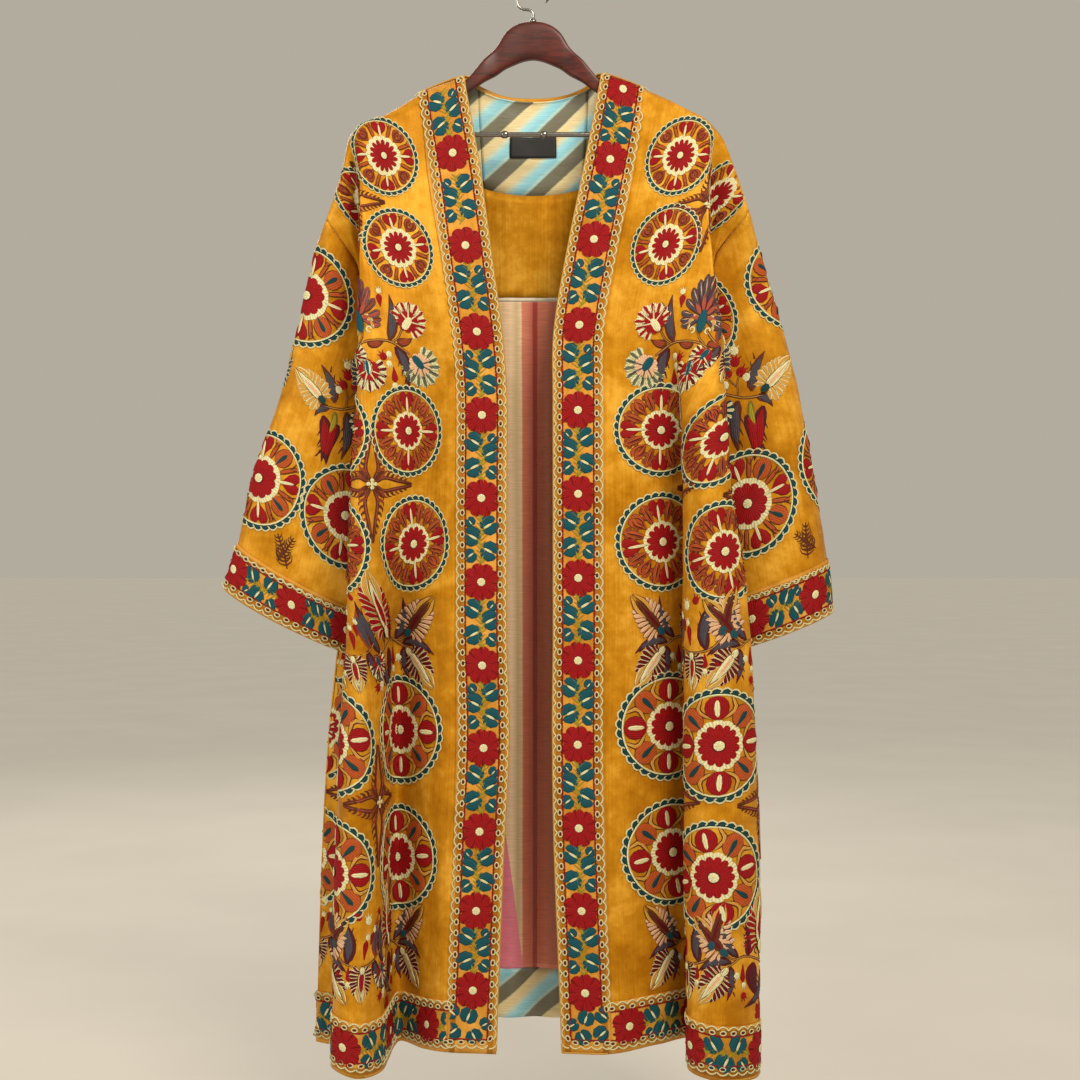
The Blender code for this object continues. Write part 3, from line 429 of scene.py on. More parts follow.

# %% [markdown]
# ## Creases
# Big folds belong to the form. The creases between them are soft and uneven: they are listed one by one,
# as a line from place to place with a width and a depth. A minus depth is a trough. The cloth also puckers
# a little everywhere, because thousands of stitches draw it up.

# %% The creases of each panel
CREASES = {
    # u0,  v0,   u1,   v1, width, depth   (mm; u away from the opening, v down)
    "front_left": [
        (66, 300, 84, 470, 12, -1.6), (72, 395, 98, 640, 10, 1.4), (70, 560, 66, 760, 14, -1.7),
        (98, 690, 84, 905, 11, -1.5), (112, 205, 128, 330, 9, -1.3), (60, 880, 72, 1090, 15, 1.5),
        (96, 1000, 90, 1200, 10, -1.4), (180, 640, 172, 800, 9, 1.3), (196, 860, 205, 1120, 12, -1.6),
        (150, 1010, 160, 1210, 13, 1.2), (90, 255, 118, 262, 8, -0.9), (240, 900, 246, 1210, 12, 1.5),
    ],
    "front_right": [
        (70, 330, 88, 520, 13, -1.6), (64, 520, 74, 735, 15, 1.5), (104, 260, 112, 420, 10, -1.2),
        (92, 610, 88, 800, 10, -1.5), (74, 800, 66, 1010, 13, -1.5), (98, 905, 106, 1190, 11, 1.4),
        (60, 1060, 72, 1215, 12, -1.2), (190, 600, 196, 820, 10, 1.2), (205, 860, 200, 1190, 12, -1.6),
        (170, 980, 176, 1205, 9, 1.1), (240, 760, 236, 1010, 12, -1.2),
    ],
    "back": [
        (-190, 420, -176, 700, 16, 1.8), (-120, 330, -112, 560, 12, -1.6), (-60, 480, -70, 820, 18, 1.6),
        (-30, 700, -18, 1050, 14, -1.7), (40, 360, 52, 640, 13, -1.5), (96, 560, 88, 900, 17, 1.8),
        (150, 420, 160, 690, 12, -1.5), (190, 800, 182, 1170, 15, 1.6), (120, 930, 126, 1220, 12, -1.4),
        (-150, 820, -160, 1190, 15, -1.8), (-220, 640, -226, 930, 11, 1.3), (10, 1010, 0, 1240, 13, 1.2),
    ],
    "sleeve_left": [
        (60, 430, 92, 560, 11, -1.9), (30, 520, 62, 660, 13, 1.5), (112, 560, 96, 690, 10, -1.6),
        (-60, 450, -96, 590, 12, -1.8), (-30, 600, -50, 740, 13, 1.5), (78, 640, 74, 780, 10, -1.1),
        (150, 590, 120, 640, 9, 1.4), (-140, 600, -110, 690, 10, -1.4),
    ],
    "sleeve_right": [
        (56, 430, 90, 575, 12, -1.9), (24, 505, 52, 655, 13, 1.6), (118, 575, 100, 700, 11, -1.6),
        (-66, 440, -100, 600, 12, -1.8), (-26, 590, -52, 735, 14, 1.6), (80, 640, 86, 770, 10, -1.2),
        (156, 610, 124, 652, 9, 1.4), (-150, 610, -112, 690, 10, -1.4),
    ],
}
PUCKER = 0.35          # mm, the drawing up of the stitched cloth
SEAM_DIP = 0.8         # mm, a sewn edge sinks this far
SLEEVE_AXES = {"sleeve_left": (-0.40, 0, -0.9165), "sleeve_right": (0.356, 0, -0.9345)}
print(sum(len(table) for table in CREASES.values()), "creases")


# %% Creased panels and their charts
def crease_depth(table, u, v):
    """How far the creases move the cloth along its normal, at every u and v."""
    depth = np.zeros(u.shape)
    for u0, v0, u1, v1, width, height in table:
        along = np.array((u1 - u0, v1 - v0), float)
        length = np.linalg.norm(along)
        along /= length
        t = ((u - u0) * along[0] + (v - v0) * along[1]) / length
        bow = 6.0 * np.sin(np.clip(t, 0, 1) * math.pi)
        off = (u - u0) * along[1] - (v - v0) * along[0] + bow
        fade = np.sin(np.clip(t, 0, 1) * math.pi) ** 0.7
        depth += height * fade * np.exp(-(off / width) ** 2)
    pucker = (np.sin(u / 9.1 + 2.0 * np.sin(v / 31)) * np.sin(v / 12.3 + 1.7 * np.sin(u / 23))
              + 0.6 * np.sin(u / 5.3 + v / 17.0) * np.sin(v / 6.9 - u / 29.0))
    return depth + PUCKER * pucker


HALF_ROUND = int(np.argmin(abs(AROUND - math.pi)))
PANELS, CHARTS = {}, {}
for name, points in SURFACES.items():
    sleeve = name.startswith("sleeve")
    grid = with_normals(points, sleeve, OUTWARD[name])
    start = {"back": points.shape[1] // 2}.get(name, 0)
    if sleeve:
        # It is cut open under the arm, so that its outer edge is in the middle.
        grid = np.concatenate([grid[:, HALF_ROUND:], grid[:, :HALF_ROUND + 1]], axis=1)
        start = len(AROUND) - HALF_ROUND
    v = grid[..., :3] @ np.array(SLEEVE_AXES.get(name, (0, 0, -1)))
    u = Chart(grid, v, start).flat(v)
    move = crease_depth(CREASES[name], u, v)
    if sleeve:
        move[0] -= SEAM_DIP
        move[1] -= SEAM_DIP / 3
        move[:, [0, -1]] = 0
    else:
        for end, inner in ((0, 1), (-1, -2))[name != "back":]:
            move[:, end] = -SEAM_DIP
            move[:, inner] -= SEAM_DIP / 3
        move[:3] *= np.array((0, 0.3, 0.7))[:, None]
    grid = with_normals(lifted(grid, move[..., None])[..., :3], False, OUTWARD[name])
    if sleeve:
        grid[:, 0, 3:] = grid[:, -1, 3:] = unit(grid[:, 0, 3:] + grid[:, -1, 3:])
    PANELS[name] = dict(grid=grid, u=u, v=v)
    CHARTS[name] = Chart(grid, v, start)
    print(name, "is", round(float(u.max() - u.min())), "mm round and",
          round(float(v.max() - v.min())), "mm long")

# %% [markdown]
# ## Cloth as a thin shell
# A panel could be one solid block of mesh, but cloth is a surface with a
# thickness. So each piece is a grid of points, and the Solidify modifier gives
# it its wall, inwards. The inner wall can show another cloth: the lining.

# %% A helper for cloth
COLLECTION = bpy.data.collections.new("chapan_robe")
bpy.context.scene.collection.children.link(COLLECTION)
MM = 0.001
CUTS = {}              # piece: width and length of its flat cut, in metres, and its area


def piece(name, mesh, nodes, finishes):
    """Links a finished mesh as one piece of the robe, standing for its CAD nodes."""
    for finish in finishes:
        mesh.materials.append(finish)
    thing = bpy.data.objects.new(name, mesh)
    COLLECTION.objects.link(thing)
    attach(thing, BODY)
    if nodes:
        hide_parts(*nodes)
    return thing


def cloth(name, grid, uv, thick, lift, nodes, finishes, sign, weld=False):
    """A sheet on a grid of points, lifted along its normals; the wall goes inwards."""
    place = lifted(grid, lift)[..., :3] * MM
    along, across = np.diff(place, axis=0), np.diff(place, axis=1)
    cells = np.linalg.norm(np.cross(along[:, :-1] + along[:, 1:], across[:-1] + across[1:]), axis=2) / 4
    CUTS[name] = (float(np.linalg.norm(across, axis=2).sum(axis=1).max()),
                  float(np.linalg.norm(along, axis=2).sum(axis=0).max()), float(cells.sum()))
    mesh = bpy.data.meshes.new(name)
    quads = quads_of(*grid.shape[:2])[:, ::sign]
    mesh.from_pydata(place.reshape(-1, 3), [], quads)
    flat = np.stack(uv, axis=2).reshape(-1, 2) * MM
    mesh.uv_layers.new(name="cloth").data.foreach_set("uv", flat[quads.ravel()].ravel())
    if weld:
        work = bmesh.new()
        work.from_mesh(mesh)
        bmesh.ops.remove_doubles(work, verts=work.verts, dist=0.00002)
        work.to_mesh(mesh)
        work.free()
    mesh.shade_smooth()
    thing = piece(name, mesh, nodes, finishes)
    wall = thing.modifiers.new("wall", "SOLIDIFY")
    wall.thickness = thick * MM
    wall.offset = -1
    if len(finishes) > 1:
        wall.material_offset = 1
    return thing

# %% [markdown]
# ## Finishes
# Every material starts from what the real one is. Colours are written as hex
# values, the way a dyer's card would give them, and one function turns them to
# the linear numbers that light needs. One more function adds a node with its
# settings and links.

# %% Colour and node helpers
def linear(hex_colour):
    """An sRGB hex colour as linear RGBA."""
    parts = [int(hex_colour[i:i + 2], 16) / 255 for i in (1, 3, 5)]
    return (*[c / 12.92 if c <= 0.04045 else ((c + 0.055) / 1.055) ** 2.4 for c in parts], 1.0)


def plug(tree, made, values):
    """Sets inputs of a node to a number, a colour, a node or one of a node's outputs."""
    for key, value in values.items():
        if isinstance(value, bpy.types.Node):
            value = next(socket for socket in value.outputs if socket.enabled)
        if isinstance(value, bpy.types.NodeSocket):
            tree.links.new(value, made.inputs[key])
        else:
            made.inputs[key].default_value = value


def node(tree, kind, values=None, stops=(), **settings):
    """Adds a node of the tree's own family, or of the one that kind names, and sets and links it.

    The stops, of a colour ramp only, are pairs of a place and a hex colour.
    """
    made = tree.nodes.new(kind if "Node" in kind else tree.bl_idname.replace("Tree", kind))
    for key, value in settings.items():
        setattr(made, key, value)
    for number, (place, colour) in enumerate(stops):
        elements = made.color_ramp.elements
        element = elements[number] if number < 2 else elements.new(place)
        element.position, element.color = place, linear(colour)
    plug(tree, made, values or {})
    return made


def finish(name, colour, roughness, **more):
    """A new material with its tree, its Principled shader with plain numbers set, and coordinates."""
    made = bpy.data.materials.new(name)
    made.use_nodes = True
    shader = made.node_tree.nodes["Principled BSDF"]
    plug(made.node_tree, shader, {"Base Color": linear(colour), "Roughness": roughness,
                                  **{key.replace("_", " "): value for key, value in more.items()}})
    return made, made.node_tree, shader, node(made.node_tree, "TexCoord").outputs


def drawn_out(tree, place, scale, turn=0.0, **values):
    """Noise drawn out along one way, as warp, slubs and grain are; scale counts them to a metre."""
    flat = node(tree, "Mapping", {"Vector": place, "Scale": scale, "Rotation": (0, 0, turn)})
    return node(tree, "TexNoise", {"Vector": flat, "Scale": 1.0, **values})


# %% [markdown]
# ### Gold silk velvet
# The ground is a hand-loomed silk velvet with a short, pressed pile. It is almost as glossy as satin:
# bright where the pile faces the light, deep amber where it turns away. The base colour paints that in:
# patches as wide as a hand, with small blotches in them, go from a painted shade to a painted highlight, a
# painted sheen of a nap brushed this way and that, and a faint streak runs down the warp. Sheen gives the
# soft bright rim of a fold. The pile threads are 0.35 mm apart, too fine to show, so the grain of the bump
# is drawn 1.5 mm apart.

# %% Velvet finishes
NAP_PATCH, NAP_BLOTCH, PILE_GRAIN = 0.085, 0.016, 0.0015     # metres, from one to the next


def velvet(name, shade, middle, light, roughness):
    """Silk velvet: painted shade and painted highlight in brushed patches and small blotches, a painted
    sheen of the nap; a faint warp streak; a fine pile.
    """
    made, tree, shader, where = finish(name, middle, roughness, Sheen_Weight=0.16, Sheen_Roughness=0.3,
                                       Sheen_Tint=linear(light), Specular_IOR_Level=0.75,
                                       Specular_Tint=linear(light))
    patch, blotch, pile = (
        node(tree, "TexNoise", {"Vector": where["Object"], "Scale": 1 / apart, **more})
        for apart, more in ((NAP_PATCH, {"Detail": 2.0, "Distortion": 0.4}),
                            (NAP_BLOTCH, {"Detail": 4.0, "Roughness": 0.62}),
                            (PILE_GRAIN, {"Detail": 2.0})))
    streak = drawn_out(tree, where["UV"], (420.0, 9.0, 1.0), Detail=2.0)
    wide = node(tree, "Mix", {0: 0.42, 2: patch, 3: blotch})
    painted_nap_sheen = node(tree, "Mix", {0: 0.14, 2: wide, 3: streak})
    # The colour goes from the painted shade through the middle tone to the painted highlight in random
    # patches: a painted sheen of the brushed nap.
    colour = node(tree, "ValToRGB", {"Fac": painted_nap_sheen}, [(0.38, shade), (0.50, middle), (0.62, light)])
    height = node(tree, "Mix", {0: 0.6, 2: pile, 3: blotch})
    bump = node(tree, "Bump", {"Height": height, "Strength": 0.32, "Distance": 0.0011})
    rough = node(tree, "MapRange", {"Value": patch, "To Min": roughness - 0.1, "To Max": roughness + 0.1})
    plug(tree, shader, {"Base Color": colour, "Normal": bump, "Roughness": rough})
    return made, tree, shader, where, colour


def edged_velvet():
    """Band velvet: under the loops of the edging it is filled with olive-gold thread."""
    # The three tones are a painted shade, the middle tone and a painted highlight.
    made, tree, shader, where, ground = velvet("ochre_band_velvet", "#AE7424", "#C68A34", "#DCA24A", 0.5)
    share = node(tree, "SeparateXYZ", {"Vector": where["UV"]})
    for step in ("SUBTRACT", "ABSOLUTE", "DIVIDE"):
        values = {0: share} if step == "ABSOLUTE" else {0: share, 1: HALF_STRIP}
        share = node(tree, "Math", values, operation=step)
    filled = node(tree, "ValToRGB", {"Fac": share}, [
        (0.60, "#FFFFFF"), (0.64, "#C8B894"), (0.84, "#C8B894"), (0.90, "#FFFFFF")])
    tint = node(tree, "Mix", {0: 1.0, 6: ground, 7: filled}, data_type="RGBA", blend_type="MULTIPLY")
    plug(tree, shader, {"Base Color": tint})
    return made


HALF_STRIP = 0.0305    # metres, half the width that a strip's UV map gives it
# The three tones are a painted shade, the middle tone and a painted highlight.
GOLD = velvet("gold_silk_velvet", "#A2660C", "#BF821A", "#DDA438", 0.40)[0]
OCHRE = edged_velvet()
print("velvets:", GOLD.name, "and", OCHRE.name)

# %% [markdown]
# ### Linings
# The facings are ikat: silk whose threads were dyed in bundles before weaving,
# so the stripes have feathered edges. The back lining is a striped silk with
# slubs, the thick places of a hand-spun thread that lie across it.

# %% Lining finishes
GORE_SLANT, GORE_START = 0.12, 0.1596        # how the gore slants, and where, in metres, it starts


def slubbed(name, stripes, repeat, angle, feather, gore=None):
    """A striped silk, turned by angle; its stripes repeat after some metres. It may have a gore."""
    made, tree, shader, where = finish(name, stripes[0][1], 0.36, Sheen_Weight=0.15,
                                       Specular_IOR_Level=0.6)
    feathered = drawn_out(tree, where["UV"], (60.0, 900.0, 1.0), angle, Detail=2.0)
    turned = node(tree, "Mapping", {"Vector": where["UV"], "Rotation": (0, 0, angle),
                                    "Scale": (1 / repeat, 1 / repeat, 1.0)})
    across = node(tree, "SeparateXYZ", {"Vector": turned})
    shake = node(tree, "MapRange", {"Value": feathered, "To Min": -feather, "To Max": feather})
    shaken = node(tree, "Math", {0: across, 1: shake}, operation="ADD")
    turn = node(tree, "Math", {0: shaken, 1: 1.0}, operation="FLOORED_MODULO")
    colour = node(tree, "ValToRGB", {"Fac": turn}, stripes)
    if gore:
        flat = node(tree, "SeparateXYZ", {"Vector": where["UV"]})
        slant = node(tree, "Math", {0: flat.outputs["Y"], 1: GORE_SLANT}, operation="MULTIPLY")
        side = node(tree, "Math", {0: slant, 1: flat}, operation="SUBTRACT")
        past = node(tree, "Math", {0: side, 1: GORE_START}, operation="GREATER_THAN")
        colour = node(tree, "Mix", {0: past, 6: colour, 7: linear(gore)}, data_type="RGBA")
    slub = drawn_out(tree, where["UV"], (45.0, 800.0, 1.0), Detail=3.0, Roughness=0.7)
    shade = node(tree, "MapRange", {"Value": slub, "From Min": 0.3, "From Max": 0.7,
                                    "To Min": 0.8, "To Max": 1.12})
    tint = node(tree, "Mix", {0: 1.0, 6: colour, 7: shade}, data_type="RGBA", blend_type="MULTIPLY")
    bump = node(tree, "Bump", {"Height": slub, "Strength": 0.4, "Distance": 0.0005})
    plug(tree, shader, {"Base Color": tint, "Normal": bump})
    return made


IKAT = slubbed("diagonal_ikat_silk", [
    (0.00, "#77745F"), (0.30, "#6F6C58"), (0.335, "#E9DCA6"), (0.50, "#EFD9A0"), (0.60, "#D9E3C6"),
    (0.70, "#A4E2EE"), (0.86, "#8FD3E4"), (0.95, "#B9DCD2"), (1.00, "#77745F")],
    0.047, math.radians(-48), 0.02)
LINING = slubbed("striped_silk_lining", [
    (0.00, "#A42C1C"), (0.045, "#B03424"), (0.06, "#DC7C5E"), (0.16, "#E88A68"), (0.24, "#D07056"),
    (0.30, "#DC7C5E"), (0.34, "#EE8296"), (0.44, "#F08C9C"), (0.45, "#F4D2A8"), (0.56, "#FADAB2"),
    (0.64, "#E2C694"), (0.68, "#F4D2A8"), (0.74, "#FADAB2"), (0.80, "#D6BC88"), (0.855, "#F4D2A8"),
    (0.865, "#DE8264"), (0.93, "#DC7C5E"), (0.985, "#D06A4E"), (1.0, "#A42C1C")],
    0.105, 0.0, 0.006, gore="#F08498")
INSIDE = slubbed("rose_silk_inside", [
    (0.00, "#A4604E"), (0.30, "#A85C4C"), (0.34, "#9C8660"), (0.60, "#A08A60"), (0.64, "#D9677A"),
    (0.90, "#D86C7C"), (0.94, "#7C1A14"), (1.00, "#A4604E")], 0.16, 0.0, 0.012)
print("linings:", IKAT.name, LINING.name, INSIDE.name)

# %% [markdown]
# ### Small trims, wood and steel
# The piping is a satin cord, the label a matt damask ribbon. The hanger is a
# varnished mahogany: long dark grain under a clear coat. Its bar and hook are
# bright steel that mostly mirror the dim room, so they look almost black.

# %% Ribbons
def ribbon(name, colour, dark, roughness):
    """A fine plain weave with a diagonal satin rib, 1.65 mm apart, and faint clouds of 11 mm."""
    made, tree, shader, where = finish(name, colour, roughness, Sheen_Weight=0.2)
    flat = node(tree, "Mapping", {"Vector": where["UV"], "Rotation": (0.0, 0.0, 0.6)})
    rib = node(tree, "TexWave", {"Vector": flat, "Scale": 190.0, "Distortion": 1.0})
    cloudy = node(tree, "TexNoise", {"Vector": where["Object"], "Scale": 90.0})
    colours = node(tree, "ValToRGB", {"Fac": cloudy}, [(0.35, dark), (0.65, colour)])
    bump = node(tree, "Bump", {"Height": rib.outputs["Fac"], "Strength": 0.25, "Distance": 0.0004})
    plug(tree, shader, {"Base Color": colours, "Normal": bump})
    return made


PIPING = ribbon("cream_satin_piping", "#E6DEC8", "#CFC4A6", 0.4)
LABEL = ribbon("black_damask_label", "#0A0909", "#050505", 0.6)
print("ribbons:", PIPING.name, LABEL.name)


# %% Wood and steel
def mahogany():
    """Varnished mahogany: grain drawn out along the arms, under a clear coat."""
    made, tree, shader, where = finish("varnished_mahogany", "#5A2013", 0.5, Coat_Weight=0.2,
                                       Coat_Roughness=0.25, Specular_IOR_Level=0.3)
    warp = drawn_out(tree, where["Object"], (22.0, 180.0, 180.0), Detail=6.0, Roughness=0.65,
                     Distortion=0.6)
    pore = drawn_out(tree, where["Object"], (260.0, 1600.0, 1600.0))
    grain = node(tree, "ValToRGB", {"Fac": warp}, [
        (0.30, "#260A04"), (0.45, "#431208"), (0.60, "#5A1A0B"), (0.75, "#3C1006")])
    bump = node(tree, "Bump", {"Height": pore, "Strength": 0.12, "Distance": 0.0003})
    plug(tree, shader, {"Base Color": grain, "Normal": bump})
    return made


def steel():
    """Chromed steel wire, worn in spots 4 mm apart, so its shine breaks up along the length."""
    made, tree, shader, where = finish("chromed_steel", "#8A8580", 0.24, Metallic=1.0)
    worn = node(tree, "TexNoise", {"Vector": where["Object"], "Scale": 260.0, "Detail": 3.0})
    rough = node(tree, "MapRange", {"Value": worn, "To Min": 0.12, "To Max": 0.34})
    plug(tree, shader, {"Roughness": rough})
    return made


WOOD, STEEL = mahogany(), steel()
print("hanger:", WOOD.name, "and", STEEL.name)

# %% [markdown]
# ## The panels
# Five panels make the robe: two fronts, a back and two sleeves. All are gold
# velvet outside, and the inner wall shows what each is lined with.

# %% Velvet panels
WALL = 2.0             # mm, velvet with its lining
TRIM = 1.2             # mm, bands, borders and cuffs
LAY_GAP = 0.35         # mm, between a piece and the panel that it lies on
LINING_THICK = 1.0     # mm

# Each outer finish is followed by the one of the inner wall behind it.
BACK_FINISHES = [GOLD, IKAT, GOLD, INSIDE, GOLD, GOLD]
for name, panel in PANELS.items():
    thing = cloth("velvet_" + name, panel["grid"], (panel["u"], panel["v"]), WALL, 0.0, [name],
                  BACK_FINISHES if name == "back" else [GOLD, INSIDE], OUTWARD[name],
                  weld=name.startswith("sleeve"))
    if name == "back":
        inner = np.select([ROWS < 2, ROWS < 3, ROWS < BORDER], [0, 4, 2], 0)[:-1]
        inner = np.repeat(inner, panel["grid"].shape[1] - 1)
        thing.data.polygons.foreach_set("material_index", inner)
    print(thing.name, "has", len(thing.data.polygons), "cells")

# %% [markdown]
# ## Bands, borders and cuffs
# These are separate strips, sewn flat on the panels. Each one is made from the
# panel's own points, a little higher, so it follows every fold. Its chart runs
# along the strip, so the flowers on it can be spaced like beads on a string.

# %% Strips on the panels
STRIPS = {}
STRIP_UNIT = 61.0      # mm, the width that a strip's UV map gives it
CUFF_ROWS = round(70 / CLOTH_STEP) + 1


def strip(name, panel, grid, along_down=False, gap=LAY_GAP, measured=None):
    """Sews a strip over part of a panel's grid, and keeps a chart of its upper face."""
    high = lifted(grid, gap + TRIM)
    if not along_down:
        high = high.transpose(1, 0, 2)
    along = travelled(high[:, measured or high.shape[1] // 2, :3])
    levels = np.repeat(along[:, None], high.shape[1], axis=1)
    share = np.repeat(np.linspace(0, STRIP_UNIT, high.shape[1])[None], len(high), axis=0)
    cloth("sewn_" + name, grid, (share, levels) if along_down else (share.T, levels.T), TRIM,
          gap + TRIM, [name], [OCHRE], OUTWARD[panel])
    chart = Chart(high, levels)
    STRIPS[name] = dict(chart=chart, length=float(along[-1]), width=float(chart.across[:, -1].mean()),
                        hand=-OUTWARD[panel] if along_down else OUTWARD[panel])
    print(name, "is", round(along[-1]), "mm long and", round(STRIPS[name]["width"]), "mm wide")


for side in ("left", "right"):
    front, sleeve = "front_" + side, "sleeve_" + side
    strip("band_" + side, front, PANELS[front]["grid"][:, :FRONT_COLUMNS + 1], True)
    strip("hem_border_" + side, front, PANELS[front]["grid"][BORDER_ROW:, FRONT_COLUMNS:])
    strip("cuff_" + side, sleeve, PANELS[sleeve]["grid"][-CUFF_ROWS:])
BACK = PANELS["back"]["grid"]
strip("hem_border_back", "back", BACK[BORDER_ROW:])

# %% [markdown]
# The band goes on round the back of the neck. It is cut in a curve there, so its
# points are found by walking down the cloth of the back from the neckline.

# %% The band round the neck
NECK_BAND, NECK_END, NECK_LIFT = 57.0, 14.0, 2.2     # mm, its width, its tapered ends, its gap
NAMES = [fold[0] for fold in BACK_FOLDS]


def down_back(column, downs):
    """The back's grid in a (part) column, read at distances down the cloth."""
    line = between(BACK.transpose(1, 0, 2), np.array([column]))[0]
    found = read_at(downs, travelled(line[:, :3]), line)
    found[:, 3:] = unit(found[:, 3:])
    return found


ridge = BACK[0, :, :3]
neck, ends = ((start, len(ridge) - 1 - start)
              for start in (NAMES.index(fold) * BACK_COLUMNS for fold in ("opening", "band")))
lines = []
for column in np.linspace(*ends, 121):
    held = min(max(column, neck[0]), neck[1])
    which = int(column >= held)
    span = np.linalg.norm(ridge[ends[which]] - ridge[neck[which]])
    reach = min(abs(column - held) / abs(ends[which] - neck[which]) * span / NECK_BAND, 1.0)
    height = max(NECK_BAND * math.sqrt(1 - reach ** 2), NECK_END)
    lines.append(down_back(column, np.linspace(0.4, height, 15)))
strip("band_neck", "back", np.stack(lines, axis=1), gap=NECK_LIFT, measured=4)
STRIPS["band_neck"]["width"] = NECK_BAND

# %% [markdown]
# ## Inside the back
# Five cloths show between the open fronts: a diagonal ikat facing at the neck, a
# gold yoke, a cream piping, the striped lining, and the same ikat at the hem.
# They hang inside the wall of the back, so they face the wearer.

# %% Facings, yoke, piping and lining
FIRST_LINED = len(BACK_FOLDS) * BACK_COLUMNS     # the lining starts at the collar line
CURVE = 0.08                             # the facing's foot rises this much of a station at 60 mm
PIPING_PLACE = 3.0 + 5.0 / 66.0          # 5 mm of piping below the yoke


def inside(name, stands_for, first, last, slot, finish_used):
    """A cloth inside the back, from one station place to another; each may rise to the sides."""
    columns = np.arange(FIRST_LINED, BACK.shape[1] - FIRST_LINED)
    flat_u = PANELS["back"]["u"]
    rise = CURVE * np.minimum((flat_u[0, columns] / 60.0) ** 2, 2.5)
    top, foot = (place - rise * (place == 2.0) for place in (first, last))
    steps = np.unique(np.concatenate([[0, 1], ((ROWS - first) / (last - first)).clip(0, 1)]))
    index = np.interp(top + (foot - top) * steps[:, None], ROWS, np.arange(len(ROWS)))
    low = np.minimum(index.astype(int), len(ROWS) - 2)
    part = (index - low)[:, :, None]
    grid = BACK[low, columns] * (1 - part) + BACK[low + 1, columns] * part
    cloth(name, grid, (flat_u[low, columns], -grid[..., 2]), LINING_THICK,
          -(WALL + LAY_GAP + LINING_THICK), [stands_for], [finish_used], -OUTWARD["back"])
    print(name, "has", len(steps), "rows")


inside("ikat_at_neck", "neck_facing", 0.0, 2.0, "ikat", IKAT)
inside("velvet_yoke", "yoke_lining", 2.0, 3.0, "velvet", GOLD)
inside("satin_piping", "lining_piping", 3.0, PIPING_PLACE, "piping", PIPING)
inside("striped_lining", "back_lining", PIPING_PLACE, 11.0, "lining", LINING)
inside("ikat_at_hem", "hem_facing", 11.0, 12.0, "ikat", IKAT)

# %% [markdown]
# The label is a small black ribbon, folded under at both ends and sewn along its
# top edge. It is left plain.

# %% The label
LABEL_SIZE, LABEL_TOP = (58.0, 25.0), -190.0
LABEL_ROWS, LABEL_REACH = 60, 24       # the part of the back where the ribbon is looked for
middle = BACK.shape[1] // 2
near = BACK[:LABEL_ROWS, middle - LABEL_REACH:middle + LABEL_REACH + 1]
label = np.zeros((9, 17, 6))
for number, x in enumerate(np.linspace(-LABEL_SIZE[0] / 2, LABEL_SIZE[0] / 2, 17)):
    places = np.array([np.interp(x, row[:, 0], range(len(row))) for row in near])
    low, rows = places.astype(int).clip(0, near.shape[1] - 2), np.arange(LABEL_ROWS)
    column = near[rows, low]
    column[:, :3] += (near[rows, low + 1] - column)[:, :3] * (places - low)[:, None]
    index = np.interp(-np.linspace(LABEL_TOP, LABEL_TOP - LABEL_SIZE[1], 9), -column[:, 2], rows)
    label[:, number] = column[index.astype(int)]
    label[:, number, :3] = between(column[:, :3], index)
cloth("plain_label", label, (label[..., 0], -label[..., 2]), LINING_THICK,
      -(WALL + 2 * LAY_GAP + 2 * LINING_THICK + 0.5), ["neck_label"], [LABEL],
      -OUTWARD["back"])
print("plain_label has", *label.shape[:2], "rows and columns")


# %% [markdown]
# ## The hanger
# The solids of the hanger have the right shape, but few faces. A finer copy of
# the same sections gives a rounder edge to catch light.

# %% Wood
ARM = np.array([
    # out,  top, bottom, sweep, half
    (0, -57, -103, 0, 8.5), (12, -58, -105, 0, 8.5), (24, -63, -110, -1, 8.0),
    (34, -72, -115, -2, 7.5), (45, -90, -123, -3, 7.0), (60, -105, -132, -7, 6.0),
    (83, -132, -149, -9, 5.0), (110, -146, -164, -11, 5.5), (136, -157, -175, -16, 5.5),
    (160, -173, -189, -22, 5.2), (184, -190, -204, -30, 4.8), (196, -200, -210, -34, 3.8),
])


def rounded_wood():
    """The two arms: rounded rectangles lofted smoothly from tip to tip."""
    mirrored = ARM[:0:-1] * np.array((-1, 1, 1, 1, 1))
    sections = smooth(np.concatenate([mirrored, ARM]), np.arange(0, 22.001, 0.25))
    out, top, low, sweep, half = sections.T[:, :, None]
    turns = np.linspace(0, 2 * math.pi, 28, endpoint=False)
    y, z = (np.sign(way) * abs(way) ** 0.45 for way in (np.cos(turns), np.sin(turns)))
    return np.stack(np.broadcast_arrays(out, sweep + half * 0.97 * y,
                                        (top + low) / 2 + (top - low) / 2 * 0.985 * z), axis=2)


def closed_tube(name, rings, nodes, used):
    """A closed skin over rings of points, with its two ends filled."""
    rings = np.array(rings)
    rows, count = rings.shape[:2]
    index = quads_of(rows, count + 1)
    quads = index // (count + 1) * count + index % (count + 1) % count
    ends = [list(range(count)), list(range(rows * count - 1, (rows - 1) * count - 1, -1))]
    mesh = bpy.data.meshes.new(name)
    mesh.from_pydata(rings.reshape(-1, 3) * MM, [], quads.tolist() + ends)
    work = bmesh.new()
    work.from_mesh(mesh)
    bmesh.ops.recalc_face_normals(work, faces=work.faces)
    work.to_mesh(mesh)
    work.free()
    mesh.shade_smooth()
    mesh.set_sharp_from_angle(angle=math.radians(50))
    piece(name, mesh, nodes, [used])
    print(name, "has", rows, "rings of", count)


closed_tube("mahogany_arms", rounded_wood(), ["hanger_wood"], WOOD)


